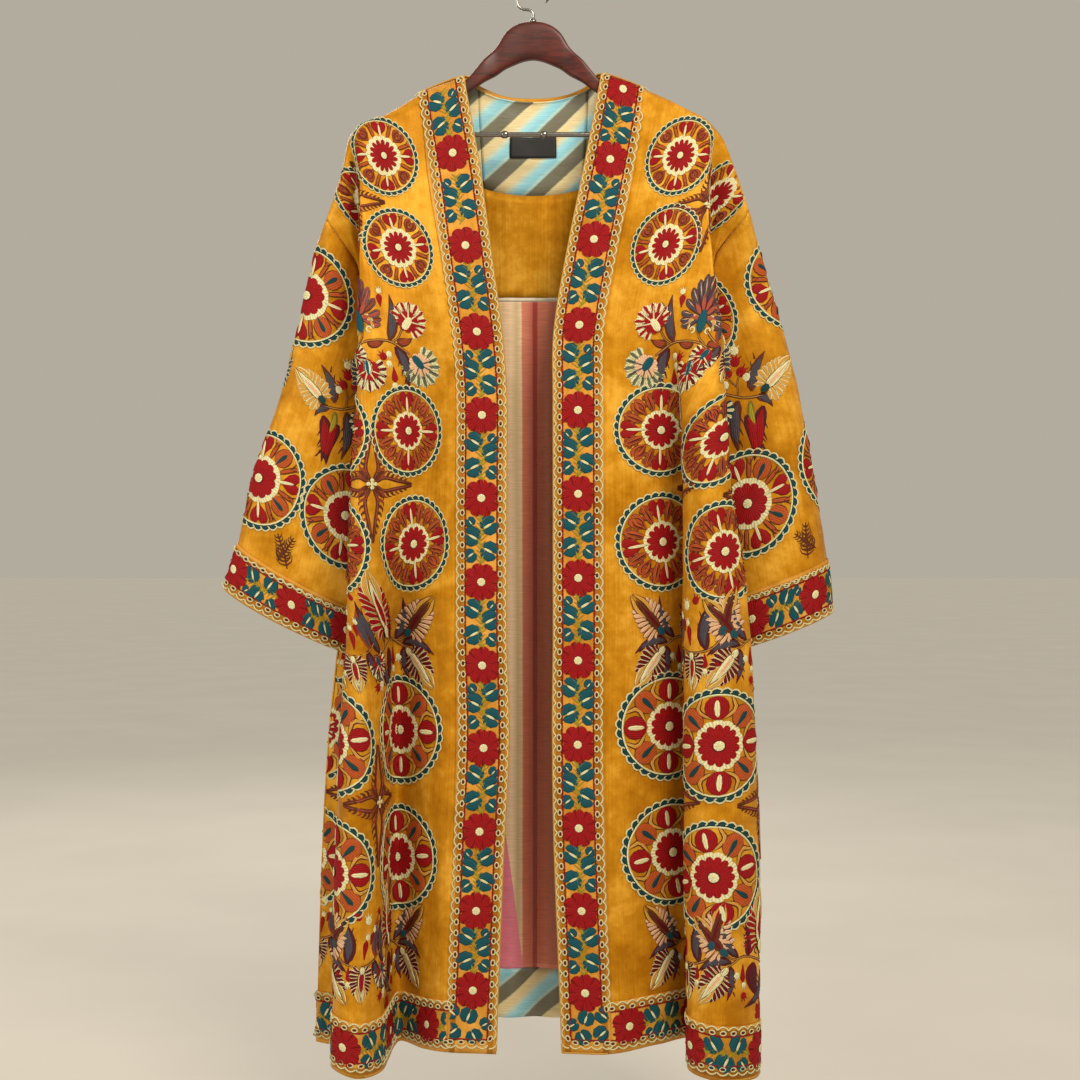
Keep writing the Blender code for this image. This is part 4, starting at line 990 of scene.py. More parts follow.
# %% Bar, hook and ferrule
def wire(path, radius, count=16):
    """Rings of a round wire along a path; radius may change along it."""
    path = np.asarray(path, float)
    radii = np.broadcast_to(radius, len(path))
    side = np.array((0.0, 1.0, 0.0))
    up = unit(np.cross(np.gradient(path, axis=0), side))
    turns = np.linspace(0, 2 * math.pi, count, endpoint=False)[:, None]
    return path[:, None] + radii[:, None, None] * (np.cos(turns) * side + np.sin(turns) * up[:, None])


bend = [(148 - 8 * (1 - math.cos(turn)), -20.0, -198 + 8 * (1 - math.sin(turn)))
        for turn in np.radians(range(15, 91, 15))]
right_bar = np.array([(148.0, -19.0, -181.0), (148.0, -19.5, -186.0), (148.0, -20.0, -190.0), *bend,
                      *((x, -20.0, -198.0) for x in (120, 80, 41, 31))])
left_bar = (right_bar * np.array((-1, 1, 1)))[::-1]
closed_tube("trouser_bar", wire(np.concatenate([right_bar, left_bar]), 3.0),
            ["hanger_bar"], STEEL)
steps = np.linspace(-1, 1, 9)
for side, x in (("left", -34.0), ("right", 13.0)):
    closed_tube("bar_stop_" + side, wire([(x + 4 * step, -20.0, -198.0) for step in steps],
                                         3.05 + 1.5 * np.sqrt(1 - steps ** 2)), [], STEEL)

hook_path = [(0, 0, -53.0), (0, 0, -47), (-1.5, 0, -44), (-5, 0, -42.2), (-12, 0, -41.5),
             (-17, 0, -38.5), (-19.5, 0, -33)]
hook_path += [(20.7 * math.cos(turn), 0, -19 + 20.7 * math.sin(turn))
              for turn in np.radians(range(195, -46, -15))]
fine_hook = smooth(hook_path, np.arange(0, len(hook_path) - 1 + 0.001, 1 / 3))
tip = np.full(len(fine_hook), 1.7)
tip[-3:] = (1.65, 1.4, 0.7)
closed_tube("wire_hook", wire(fine_hook, tip), ["hanger_hook"], STEEL)

collar = [(0, 0, z) for z in (-57.0, -56.4, -55.0, -53.9, -53.2, -52.9)]
closed_tube("hook_ferrule", wire(collar, (4.2, 4.4, 3.9, 3.4, 3.0, 2.2), 24),
            ["hanger_ferrule"], STEEL)

# %% [markdown]
# ## Needlework
# Suzani work is sewn with silk in chain stitch: rows of loops, side by side, fill
# each petal and leaf and stand a little above the velvet. Bump alone would leave
# the flowers flat, so every shape is a small domed patch of mesh. A motif is
# drawn once, flat, in millimetres, with x to the right and y up. Then it is laid
# on a chart as often as the robe needs it.

# %% Silk threads
DYES = {
    "crimson": "#8E060A", "wine": "#5C080E", "rust": "#8A3A1C", "orange": "#AA4C1C",
    "brown": "#5A2A14", "burgundy": "#4C161C", "teal": "#0B4A54", "deep_teal": "#103A3C",
    "moss": "#98881E", "cream": "#E2CFA0", "slate": "#454048", "blush": "#DCA982",
    "olive": "#6E661E", "honey": "#C49440", "straw": "#EEDCA2", "salmon": "#A04A38",
    "sage": "#5A6048",
}
DYE_NUMBER = {name: number for number, name in enumerate(DYES)}


def silk_thread(name, colour):
    """Floss silk in chain stitch: matt, with fine ridges 1.2 mm apart, drawn 2.2 mm apart to show; its
    colour is uneven from loop to loop, with painted shade in the grooves and painted highlight on the
    ridges.
    """
    made, tree, shader, where = finish("silk_thread_" + name, colour, 0.58, Sheen_Weight=0.03,
                                       Sheen_Roughness=0.4, Sheen_Tint=linear(colour),
                                       Specular_IOR_Level=0.1)
    rows = node(tree, "TexWave", {"Vector": where["UV"], "Scale": 143.0, "Distortion": 0.8,
                                  "Detail": 1.0}).outputs["Fac"]
    loop = drawn_out(tree, where["UV"], (620.0, 260.0, 1.0), Detail=2.0)
    # dark and light are partly the silk's real uneven tone from loop to loop and partly painted light: the
    # rows of the bump paint shade into the grooves and highlight onto the ridges.
    dark, light = ([*np.minimum(np.array(linear(colour)[:3]) * times + more, 1.0), 1.0]
                   for times, more in ((0.45, 0.0), (1.55, 0.01)))
    loop_tone_and_ridge_shade = node(tree, "Mix", {0: 0.3, 2: loop, 3: rows})
    mixed = node(tree, "Mix", {0: loop_tone_and_ridge_shade, 6: dark, 7: light}, data_type="RGBA")
    height = node(tree, "Math", {0: rows, 1: loop}, operation="ADD")
    bump = node(tree, "Bump", {"Height": height, "Strength": 0.55, "Distance": 0.0006})
    plug(tree, shader, {"Base Color": mixed, "Normal": bump})
    return made


THREADS = [silk_thread(name, colour) for name, colour in DYES.items()]
print(len(THREADS), "silk threads")

# %% Shapes that a needle fills
OUTLINES = {
    "line": lambda t: np.clip(np.minimum(t, 1 - t) * 12, 0.45, 1) ** 0.5,
    "leaf": lambda t: np.sin(np.pi * np.clip(t, 0.01, 0.99)) ** 0.75,
    "petal": lambda t: np.sqrt(np.clip(1 - (2 * t - 1) ** 2, 0.02, 1)) ** 0.85,
    "drop": lambda t: np.clip(t * 1.35, 0.06, 1) ** 0.8 * np.sqrt(np.clip(1 - t ** 6, 0.02, 1)),
    "flame": lambda t: np.sin(np.pi * np.clip(t, 0.01, 0.99) ** 0.62) ** 0.8,
    "taper": lambda t: np.clip(1 - t, 0.12, 1) ** 0.7,
    "ray": lambda t: np.clip(0.25 + t, 0, 1) * np.sqrt(np.clip(1 - t ** 8, 0.05, 1)),
}
# Round ends need their cross rows close together there, so some forms space their own.
SPACING = {"petal": lambda t: (1 - np.cos(np.pi * t)) / 2,
           "ray": lambda t: t ** 0.55, "drop": lambda t: t ** 0.6}
LAYER = 0.30           # mm, a shape sewn over another stands this much higher
FOOT = -0.2            # mm, the rim of a shape sinks this far into the cloth
SIDES = (-1, 1)


def at(degrees, reach=1.0):
    """The place at a distance from (0, 0), turned by degrees from the x axis."""
    return reach * math.cos(math.radians(degrees)), reach * math.sin(math.radians(degrees))


# %% Patches of silk
class Silk:
    """Patches of silk, gathered: points, quads, dye numbers and thread coordinates."""

    def __init__(self):
        self.parts, self.count = [], 0

    def gather(self, points, quads, dyes, threads):
        self.parts.append((points, quads + self.count, dyes, threads))
        self.count += len(points)
        return self

    def whole(self):
        return [np.concatenate(part) for part in zip(*self.parts)]


class Motif(Silk):
    """Domed patches of silk on flat cloth."""

    def patch(self, x, y, dome, top, layer, threads, dye):
        """A grid of points, domed up to top, with the thread coordinates on it."""
        x, y, height, *threads = np.broadcast_arrays(
            x, y, FOOT + layer * LAYER + (top - FOOT) * dome, *threads)
        quads = quads_of(*x.shape)
        return self.gather(np.stack([x, y, height], axis=2).reshape(-1, 3), quads,
                           np.full(len(quads), DYE_NUMBER[dye]),
                           np.stack(threads, axis=2).reshape(-1, 2))

    def stroke(self, path, width, dye, form="line", layer=0, steps=6, edge=None, rim=1.1, rise=0.45):
        """Silk along a path, in a form. An edge is the same shape, wider by two rims, under it."""
        if edge:
            self.stroke(path, width + 2 * rim, edge, form, layer, steps)
            layer += 1
        t = SPACING.get(form, lambda t: t)(np.linspace(0, 1, steps + 1))
        middle = smooth(path, t * (len(path) - 1))
        run = unit(np.gradient(middle, axis=0))
        s = np.linspace(-1, 1, 5 if width > 9 else 3)
        off = s * (width / 2 * OUTLINES[form](t))[:, None]
        return self.patch(middle[:, :1] + run[:, 1:] * off, middle[:, 1:] - run[:, :1] * off,
                          np.sqrt(1 - s ** 2), min(rise, 0.3 + width * 0.16), layer,
                          (off, travelled(middle)[:, None]), dye)

    def draw(self, width, length, rows):
        """Strokes from a table whose places are shares of a width and a length."""
        for sides, places, thick, *rest in rows:
            for side in SIDES[-sides:]:
                self.stroke([(side * width * x, length * y) for x, y in places],
                            thick * width if thick <= 1 else thick, *rest)
        return self

    def blossom(self, radius, dye, lobes=0, notch=0.0, layer=0, x=0.0, y=0.0, rise=0.6):
        """A filled shape of round lobes, its threads running out from the middle."""
        turns = np.linspace(0, 2 * math.pi, 1 + (max(14, lobes * 6) if radius > 4 else 8))
        cut = (notch if lobes else 0.0) * (1 - abs(np.sin(turns * lobes / 2)) ** 0.6)
        share = np.array((1.0, 0.82, 0.45, 0.05) if radius > 4 else (1.0, 0.55, 0.05))[:, None]
        reach = share * radius * (1 - cut)
        return self.patch(x + reach * np.cos(turns), y + reach * np.sin(turns),
                          np.sqrt(1 - (share * 0.98) ** 4), min(rise, 0.3 + radius * 0.1), layer,
                          (turns * radius * 0.6, reach), dye)

    def ring(self, radius, width, dye, bumps=0, depth=0.0, layer=0, count=48):
        """A closed band of silk round the middle, its outer edge scalloped by bumps."""
        turns = np.linspace(0, 2 * math.pi, count + 1)
        s = np.array((1.0, 0.5, 0.0))[:, None]
        reach = radius - width / 2 + s * (width + depth * abs(np.sin(turns * bumps / 2)))
        return self.patch(reach * np.cos(turns), reach * np.sin(turns),
                          np.sqrt(1 - (2 * s - 1) ** 2), min(0.5, 0.3 + width * 0.16), layer,
                          (reach, turns * radius), dye)

    def add(self, other, x=0.0, y=0.0, turn=0.0, flip=False, layer=0):
        """Adds another motif, turned by degrees and moved; flip mirrors it first."""
        points, quads, dyes, threads = other.whole()
        across = -points[:, 0] if flip else points[:, 0]
        c, s = at(turn)
        moved = np.stack([x + across * c - points[:, 1] * s, y + across * s + points[:, 1] * c,
                          points[:, 2] + layer * LAYER], axis=1)
        return self.gather(moved, quads[:, ::-1] if flip else quads, dyes, threads)


def bunch(*parts):
    """One motif from parts, each with its place, turn and flip."""
    m = Motif()
    for part, *place in parts:
        m.add(part, *place)
    return m


# %% [markdown]
# ### Round flowers
# The big round flowers are all built the same way: a crimson rosette on a cream
# ring, a ring of petals on warmer ground, a thin cream line, and a dark border
# of waves with small cream loops on it. The petals differ from row to row of the
# robe. Every petal is sewn over a slightly larger brown one, which gives it the
# thin dark outline of the real work.
#
# A petal grows up from (0, 0). Its places are shares of its width and length. A
# thickness up to 1 is a share of the width too, and a larger one is in mm.

# %% Petals of the round flowers
def two_lobed(dye):
    """A heart with a dark outline and curved marks."""
    return [(2, ((0, 0.02), (0.24, 0.5), (0.16, 0.96)), 0.54, dye, "drop", 0, 4, "burgundy", 0.9),
            (2, ((0.06, 0.2), (0.3, 0.5), (0.12, 0.82)), 1.4, "burgundy", "leaf", 4, 3)]


PETALS = {
    # name: sides, places, thickness, dye, form, layer, steps, outline and its width in mm
    "heart": [(2, ((0, 0.04), (0.26, 0.55), (0.2, 1)), 0.56, "crimson", "drop", 0, 4, "wine", 0.7),
              (1, ((0, -0.16), (0, 0.74)), 0.15, "cream", "petal", 4, 4)],
    "rust": two_lobed("rust"), "flare": two_lobed("orange"),
    "ragged": [(1, ((0, 0), (0, 1)), 0.6, "orange", "petal", 2, 5, "brown", 0.9),
               (2, ((0, 0.28), (0.54, 0.5)), 0.4672, "rust", "ray", 0, 3, "brown", 0.9),
               (2, ((0, 0.532), (0.46, 0.86)), 0.4672, "rust", "ray", 0, 3, "brown", 0.9),
               (1, ((0, 0.06), (0, 0.8)), 1.8, "burgundy", "leaf", 6, 3)],
    "drop": [(1, ((0, -0.02), (0, 1)), 1, "orange", "petal", 0, 6, "brown", 1.1),
             (1, ((0, -0.08), (0, 0.76)), 0.28, "deep_teal", "drop", 4, 5)],
    "tulip": [(1, ((0, 0), (0, 1)), 0.84, "crimson", "petal", 1, 6, "wine", 0.9),
              (1, ((0, 0.12), (0, 0.84)), 0.19, "cream", "petal", 5, 4),
              (2, ((0.16, 0), (0.7, 0.4), (0.52, 1.02)), 0.13, "honey", "leaf", 0, 5, "brown", 1.4)],
    "bar": [(1, ((0, 0), (0.1, 0.92)), 0.36, "orange", "line", 0, 4, "brown", 1.3),
            (2, ((0, 0.62), (0.5, 1)), 2.2, "brown", "taper", 1, 2)],
}

# %% The kinds of round flower
HEART, BAR, DROP = ("heart", 1.5), ("bar", 0.62), ("drop", 0.76)
ROSETTES = {
    # kind: core share, lobes, notch, ring to share, scallops of the ring, petals in turn
    "shoulder": (0.40, 15, 0.30, 0.50, 15, (HEART, BAR, ("rust", 1.35), BAR)),
    "middle": (0.355, 13, 0.24, 0.42, 13, (HEART, ("ragged", 0.9), ("flare", 1.15), ("ragged", 0.9))),
    "lower": (0.365, 14, 0.17, 0.445, 14, (("tulip", 0.95), DROP)),
    "sleeve": (0.38, 12, 0.13, 0.47, 0, (HEART, BAR, ("drop", 1.3), BAR)),
}
ROUND = 56.0           # mm, the radius that they are drawn with
WAVES = 34


def round_flower(core, lobes, notch, rim, scallops, petals):
    """A whole round flower with its border of waves and loops."""
    m = Motif().blossom(ROUND * rim, "cream", scallops, 0.07, 2, rise=0.5)
    m.blossom(ROUND * core, "crimson", lobes, notch, 4)
    m.blossom(ROUND * 0.105, "wine", layer=7).blossom(ROUND * 0.085, "cream", layer=9)
    count = len(petals) * 4
    room = math.pi * ROUND * (rim + 0.83) / count
    for number in range(count):
        turn = 360 * number / count
        name, share = petals[number % len(petals)]
        petal = Motif().draw(room * share, ROUND * (0.85 - rim), PETALS[name])
        m.add(petal, *at(turn + 90, ROUND * rim), turn, layer=1 + number % 2)
    m.ring(ROUND * 0.872, 1.7, "cream", layer=2, count=40)
    m.ring(ROUND * 0.915, ROUND * 0.062, "deep_teal", WAVES, 2.4, 0, WAVES * 3)
    for number in range(WAVES):
        loop = ((0.95, 0.0), (0.995, 0.45), (0.95, 1.0), (0.905, 0.8))
        m.stroke([at((number + on) * 360 / WAVES, ROUND * reach) for reach, on in loop], 1.5, "cream",
                 "line", 3, 5)
    return m


FLOWERS = {kind: round_flower(*row) for kind, row in ROSETTES.items()}
print(len(FLOWERS), "kinds of round flower from", len(PETALS), "kinds of petal")

# %% [markdown]
# ### Sprays and stars
# The sprays hang on stems of two brown lines. They carry palmettes, carnations
# seen from the side with a striped fringe, flame flowers with two horns, long
# sickle leaves and pomegranate buds. A dark star of fern arms stands between
# each four round flowers. Each part grows upwards from (0, 0).

# %% Carnations
def carnation(radius, heart, fringe, stripe, line, cup):
    """A carnation from the side: a fringe of outlined round lobes, round a heart, over a cup."""
    m, spread, lobes = Motif(), 118, 11
    fat = 2 * math.radians(spread) * radius / (lobes - 1)

    def away(turn, share):
        return at(90 - turn, radius * share * (1.1 - 0.16 * abs(turn) / spread))

    for number in range(lobes):
        turn = spread * (2 * number / (lobes - 1) - 1)
        m.stroke([away(turn, 0.35), away(turn, 1.0)], fat * 0.8, fringe, "ray", number % 2 * 2, 4,
                 stripe, 1.4)
    m.blossom(radius * 0.56, heart, 9, 0.16, 3.5, rise=0.4)
    for turn in (-70, -26, 20, 66):
        m.stroke([(0, 0), away(turn, 0.84)], 2.3, line, "taper", 5, 3)
    return m.stroke([(0, -radius * 0.5), (0, radius * 0.24)], radius * 0.38, cup, "petal", 5, 5, line, 0.7)


# %% Palmettes
def palmette(length, width, dye, stripe, edge="slate", line="slate"):
    """A tall egg-shaped fan of outlined lobes round a warm heart, with pale scrolls under it."""
    m = Motif()
    base = 0.3

    def tip(turn, share):
        x, y = at(turn)
        return 0.54 * share * y, base + (1 - base) * (1.0 if abs(turn) < 90 else 0.45) * share * x

    rows = []
    for number in (0, 14, 1, 13, 2, 12, 3, 11, 4, 10, 5, 9, 6, 8, 7):
        turn = 118 * (number / 7 - 1)
        rows += [(1, (tip(turn, 0.12), tip(turn * 1.06, 0.6), tip(turn, 1.0)), 0.15,
                  dye if number % 2 else stripe, "ray", abs(7 - number) % 2 * 2, 5, edge, 1.0),
                 (1, (tip(turn, 0.5), tip(turn, 0.94)), 1.3, line, "leaf", 5, 2)]
    rows += [(1, (tip(turn, 0.05), tip(turn, 0.56)), 0.12, "salmon", "flame", 5, 4)
             for turn in (-96, -58, -22, 22, 58, 96)]
    rows += [(1, (tip(turn, 0.1), tip(turn, 0.72)), 1.7, "burgundy", "taper", 7, 3)
             for turn in (-77, -40, 0, 40, 77)]
    m.draw(width, length, rows + [
        (2, ((0, 0.33), (0.24, 0.285), (0.3, 0.09)), 0.08, "honey", "leaf", 3, 5, "cream", 1.0),
        (1, ((0, 0.06), (0, 0.42)), 0.2, "teal", "petal", 7, 6, "deep_teal", 0.6)])
    for side in SIDES:
        m.add(curl(4.6, "cream"), side * width * 0.2, length * 0.048, 0, side > 0)
    return m


# %% Flames
def flame(length, width, ray="crimson", edge="cream", core="crimson", cup="cream"):
    """A pointed flower: round rays like wings on both sides of an almond, and two horns."""
    m = Motif()
    for side in SIDES:
        for number in range(6, -1, -1):
            x, y = width * (0.05 + 0.008 * number), length * (0.13 + 0.07 * number)
            dx, dy = at(11 * number - 12, width * (0.47 - 0.024 * number))
            m.stroke([(side * x, y), (side * (x + dx), y + dy)], length * 0.092, ray, "ray",
                     number % 2 * 2, 4, edge, 1.0)
    return m.draw(width, length, [
        (2, ((0.03, 0.06), (0.18, 0.04), (0.34, -0.09)), 0.1, ray, "ray", 0, 4, edge),
        (2, ((0.12, 0.44), (0.16, 0.7), (0.03, 1)), 0.1, "honey", "leaf", 3, 5, edge),
        (1, ((0, 0.04), (0, 0.86)), 0.26, edge, "flame", 4, 6, "brown", 0.7),
        (1, ((0, 0.12), (0, 0.7)), 0.18, core, "flame", 6, 6),
        (1, ((0, -0.07), (0, 0.13)), 0.2, cup, "petal", 7, 4, "brown", 0.6)])


# %% Leaves, buds and curls
def leaf(length, width, dye="slate", tip="burgundy", bend=8.0, teeth=3):
    """A long sickle leaf, darker at its tip, toothed on its outer edge."""
    m = Motif().draw(bend, length, [
        (1, ((0, 0), (1, 0.3), (0.9, 0.65), (-0.35, 1)), width, tip, "flame", 0, 8),
        (1, ((0.3, 0.06), (0.92, 0.3), (0.8, 0.62), (0.3, 0.8)), width * 0.66, dye, "leaf", 2, 7)])
    for number in range(teeth):
        x, y = bend * 0.9 + width * 0.34, length * (0.3 + 0.45 * number / max(teeth - 1, 1))
        m.stroke([(x, y), (x + width * 0.3, y + width * 0.5)], 2.4, tip, "taper", 0, 2)
    return m


def bud(dye, size=4.2):
    """A round bud with a crown of three teeth."""
    m = Motif().blossom(size, dye)
    for turn in (52, 90, 128):
        m.stroke([at(turn, size * 0.6), at(turn, size * 1.75)], size * 0.5, dye, "taper", 0, 2)
    return m


def drops(length):
    """A pomegranate bud and a cream one in line."""
    m = Motif().stroke([(0, 0), (1, length)], 7.4, "crimson", "drop", 0, 5, "wine", 0.6)
    return m.add(bud("cream", 3.4), 2, length + 3.5, -10, layer=1)


def curl(size, dye="brown"):
    """A small double spiral."""
    path = [(size * (1 - t / 7.6) * math.sin(t), size - size * (1 - t / 7.6) * math.cos(t))
            for t in np.linspace(0, 5.4, 7)]
    return Motif().stroke(path, 1.7, dye, "line", 1, 10)


def stem(*points, width=3.4):
    """Two brown lines with a pale one between them."""
    return Motif().stroke(points, width * 0.36, "honey", "line", 0, 12, "brown", width * 0.32)


# %% Ferns, stars and small blossoms
def fern():
    """A stem with curved barbs on both sides."""
    m, length, barbs = Motif(), 46.0, 8
    m.stroke([(0, 0), (1, length * 0.5), (0, length)], 2.4, "brown", "line", 0, 6)
    for number in range(barbs):
        share = number / (barbs - 1)
        y, long = length * (0.1 + 0.78 * share), 12 * (1 - 0.55 * share)
        for side in SIDES:
            m.stroke([(0, y), (side * long * 0.75, y + long * 0.3), (side * long, y + long * 0.95)],
                     2.6, "brown", "taper", number % 2, 4)
    return m


def star():
    """Four open fir-like arms round a small cream cross, with short twigs between them."""
    m = Motif()
    for turn, length in ((0, 60), (180, 67), (90, 50), (270, 50)):
        bow = ((1.5, 4), (7.5, length * 0.3), (4.5, length * 0.62), (1, length))
        rows = [(2, bow, 4.2, "brown", "line", 1, 8), (2, bow, 1.2, "salmon", "leaf", 4, 6)]
        for number in range(7):
            x, y = 7.4 - abs(number - 1.5) * 1.1, length * (0.14 + 0.11 * number)
            reach = 9.0 - 0.9 * number
            rows += [(2, ((x, y), (x + reach * 0.9, y + reach * 0.4), (x + reach, y + reach)), 4.2,
                      "rust" if number % 3 == 1 else "brown", "taper", number % 2, 3)]
        m.add(Motif().draw(1, 1, rows), turn=turn)
    for turn in (45, 135, 225, 315):
        m.add(Motif().draw(1, 1, [(1, ((0, 6), (0, 21)), 3.0, "brown", "taper", 0, 3),
                                  (2, ((0, 11), (5, 15), (6, 21)), 3.4, "rust", "taper", 0, 3)]),
              turn=turn)
    for x, y in ((0, 0), (4.2, 0), (-4.2, 0), (0, 4.2), (0, -4.2)):
        m.blossom(2.3, "cream", x=x, y=y, layer=5)
    return m


def blob(size):
    """A five-lobed red blossom on a stalk."""
    return stem((0, size * 1.5), (2, size), (0, size * 0.4), width=2.4).blossom(
        size / 2, "crimson", 5, 0.35, 1)


# %% The sprays, each round the place where its stems meet
FAN_RED = ("crimson", "crimson", "cream", "cream", "cream")
FAN_PALE = ("crimson", "wine", "cream", "cream", "teal")
FAN_SLATE = ("blush", "sage", "cream", "slate", "teal")
FLAME_SLATE = ("blush", "brown", "wine", "teal")


def upper_spray(*colours):
    """A palmette and three carnations, between the upper round flowers."""
    return bunch(
        (stem((-56, -15), (-38, -2), (-18, 2), (0, 0), (20, -13)),),
        (stem((-34, 12), (-36, 4), (-44, -4), width=2.8),),
        (stem((0, 0), (8, 6), (15, 18), width=2.8),), (palmette(76, 50, *colours), -34, 6, 6),
        (leaf(56, 13, "slate", "brown", 3), -3, 2, -9), (leaf(20, 11, "rust", "brown", 2, 0), 6, 1, -78),
        (leaf(20, 10, "rust", "brown", 2, 0), -30, -2, -84),
        (leaf(18, 10, "rust", "brown", 2, 0), -46, -4, 100), (leaf(52, 14, bend=-5), 3, -5, 194),
        (carnation(23, *FAN_RED), 22, 25, -36), (carnation(25, *FAN_SLATE), 31, -25, -142),
        (carnation(23, *FAN_PALE), -33, -34, 180), (drops(15), -8, 42, 4), (drops(18), -2, -29, 184),
        (bud("crimson", 4.6), -13, -17, 40), (bud("cream", 3.6), -6, -14, 190),
        (bud("cream", 3.6), -7, -25, 200), (bud("cream"), 8, 30, 20), (bud("cream", 3.2), -57, 20, 30))


SPRAYS = {
    "upper": upper_spray("rust", "salmon"),
    "upper_grey": upper_spray("slate", "slate", "brown", "blush"),
    # three flame flowers, sickle leaves and buds on a wavy stem
    "tall": bunch(
        (stem((-64, -17), (-45, -15), (-27, -7), (0, 1), (23, -11)),),
        (stem((-28, 12), (-29, 2), (-33, -8), width=2.8),),
        (stem((4, 0), (16, -1), (27, 7), width=2.8),), (curl(5.5), -33, -1, 0, True),
        (curl(5.5), -23, 1), (leaf(62, 15, bend=-7), -50, -14, 8),
        (leaf(46, 11, "wine", bend=-2), -7, 0, -4), (flame(74, 54), -28, 9),
        (flame(60, 44, *FLAME_SLATE), 27, 7, -42),
        (flame(56, 42, "wine", "cream", "blush", "cream"), 26, -14, -141),
        (leaf(54, 12, bend=6), 8, 1, -26), (leaf(46, 12, bend=-6), 18, -5, -104),
        (leaf(42, 11, "slate", "wine", 3), 19, -10, 184),
        (leaf(46, 22, "burgundy", "wine", -5), -17, -9, 168), (leaf(60, 16), -44, -19, 220),
        (drops(22), 1, -9, 180), (bud("cream"), 10, -22, 170), (bud("crimson", 4.4), -1, -48, 160),
        (bud("cream", 5.4), -56, -38, 70), (bud("cream", 5.4), -51, -50, 150),
        (bud("crimson", 5.0), -62, -54, 120), (blob(24), -33, -72), (bud("crimson", 4.0), -60, 52, 40)),
    # the other side of a spray: a bowed stem with leaves, buds and a small flame
    "side": bunch(
        (stem((-38, 10), (-24, -6), (2, -12), (26, -4), (42, 14)),), (leaf(60, 16, bend=9), -18, -8, 12),
        (leaf(48, 12, "slate", "rust", -4), 24, -4, -8), (drops(22), 4, -4, -8), (drops(14), 14, 12, -20),
        (bud("cream", 5.0), 12, 40), (bud("crimson", 4.6), -2, 46, 20),
        (flame(40, 30, "wine", "cream", "crimson", "cream"), 0, -14, 178),
        (leaf(54, 15, bend=6), 20, -6, 214), (drops(16), -16, -12, 186),
        (carnation(19, *FAN_PALE), 36, -22, 204), (flame(52, 40, *FLAME_SLATE), -34, 12, 16),
        (bud("crimson", 4.4), -30, -22, 150), (bud("cream", 4.0), -24, -30, 120)),
    # a small one for the upper sleeves
    "arm": bunch(
        (stem((-12, 2), (6, -1), (24, 2), (50, 6), width=3.0),),
        (flame(48, 36, "honey", "cream", "blush", "deep_teal"), -14, 8, 40),
        (leaf(42, 12, "slate", "brown", 3), -1, 6, 14), (leaf(20, 9, "slate", "brown", 3, 0), -7, 0, 112),
        (stem((12, 0), (14, 14), (12, 24), width=2.0),), (stem((14, 10), (22, 16), (26, 22), width=2.0),),
        *((bud(dye, 5.2 if dye == "crimson" else 4.4), *place) for dye, place in (
            ("crimson", (18, 35, 10)), ("crimson", (11, 25, 60)), ("crimson", (25, 23, -30)),
            ("cream", (19, 46, 0)), ("cream", (5, 20, 70)), ("cream", (34, 18, -50)),
            ("cream", (27, 11, -90)))),
        (leaf(50, 14, "crimson", bend=-3), -15, -8, 176),
        (leaf(30, 8, "moss", "olive", -2, 0), -1, -4, 160),
        (leaf(46, 16, "crimson", bend=4), 2, -18, 158), (leaf(52, 14, "slate", "brown", -4), 12, -4, 172),
        (carnation(19, "honey", "cream", "deep_teal", "crimson", "cream"), 33, -14, 182),
        (flame(46, 34, "slate", "cream", "crimson", "teal"), 40, 20, 8)),
    "star": star(), "fern": fern(),
}
for kind, made in {**FLOWERS, **SPRAYS}.items():
    print(kind, "has", len(made.whole()[1]) * 2, "triangles")

# %% [markdown]
# ### Laying motifs on the robe
# A motif keeps its flat shape only in the chart. Laid on it, each point is moved
# to its place on the folded cloth and lifted along the cloth's normal.

# %% Laying and sewing
class Needlework(Silk):
    """All the motifs on one chart, gathered into one mesh."""

    def __init__(self, chart, hand, limits=(-999, 999)):
        super().__init__()
        self.chart, self.hand, self.limits = chart, hand, limits

    def lay(self, motif, u, v, size=1.0, turn=0.0, low=()):
        """Lays a motif with its middle at (u, v); no silk comes nearer u = 0 than low."""
        points, quads, dyes, threads = Motif().add(motif, turn=turn).parts[0]
        wide, high = np.broadcast_to(size, 2)
        flat_u, flat_v = u + self.hand * points[:, 0] * wide, v - points[:, 1] * high
        place, up, on = self.chart.place(flat_u, flat_v)
        on &= (flat_u >= max((*low, self.limits[0]))) & (flat_u <= self.limits[1])
        kept = on[quads].all(axis=1)
        self.gather(place + up * (points[:, 2:] + SEWN_ON), quads[kept], dyes[kept], threads)

    def sew(self, name, slot):
        """Makes the mesh."""
        points, quads, dyes, threads = self.whole()
        used, number = np.unique(quads, return_inverse=True)
        quads = number.reshape(-1, 4)
        mesh = bpy.data.meshes.new(name)
        mesh.from_pydata(points[used] * MM, [], quads)
        layer = mesh.uv_layers.new(name="cloth")
        layer.data.foreach_set("uv", (threads[used][quads.ravel()] * MM).ravel())
        shades, shade = np.unique(dyes, return_inverse=True)
        piece(name, mesh, [], [THREADS[dye] for dye in shades])
        mesh.polygons.foreach_set("material_index", shade)
        mesh.shade_smooth()
        print(name, "has", len(quads) * 2, "triangles of silk")


SEWN_ON = 0.4          # mm that a motif's own zero lies above the cloth

# %% [markdown]
# ## The pattern of the robe
# Two blocks take turns down the cloth. In the first, four round flowers stand in
# a square with a star between them. In the second, sprays grow out to both
# sides. The two fronts mirror each other, not quite evenly, because each was
# drawn by hand. The back and the hidden sides carry the same blocks on.

# %% A pattern for a panel
MOTIFS = {**FLOWERS, **SPRAYS}
MOTIFS.update({"mirrored_" + kind: Motif().add(made, flip=True) for kind, made in MOTIFS.items()})


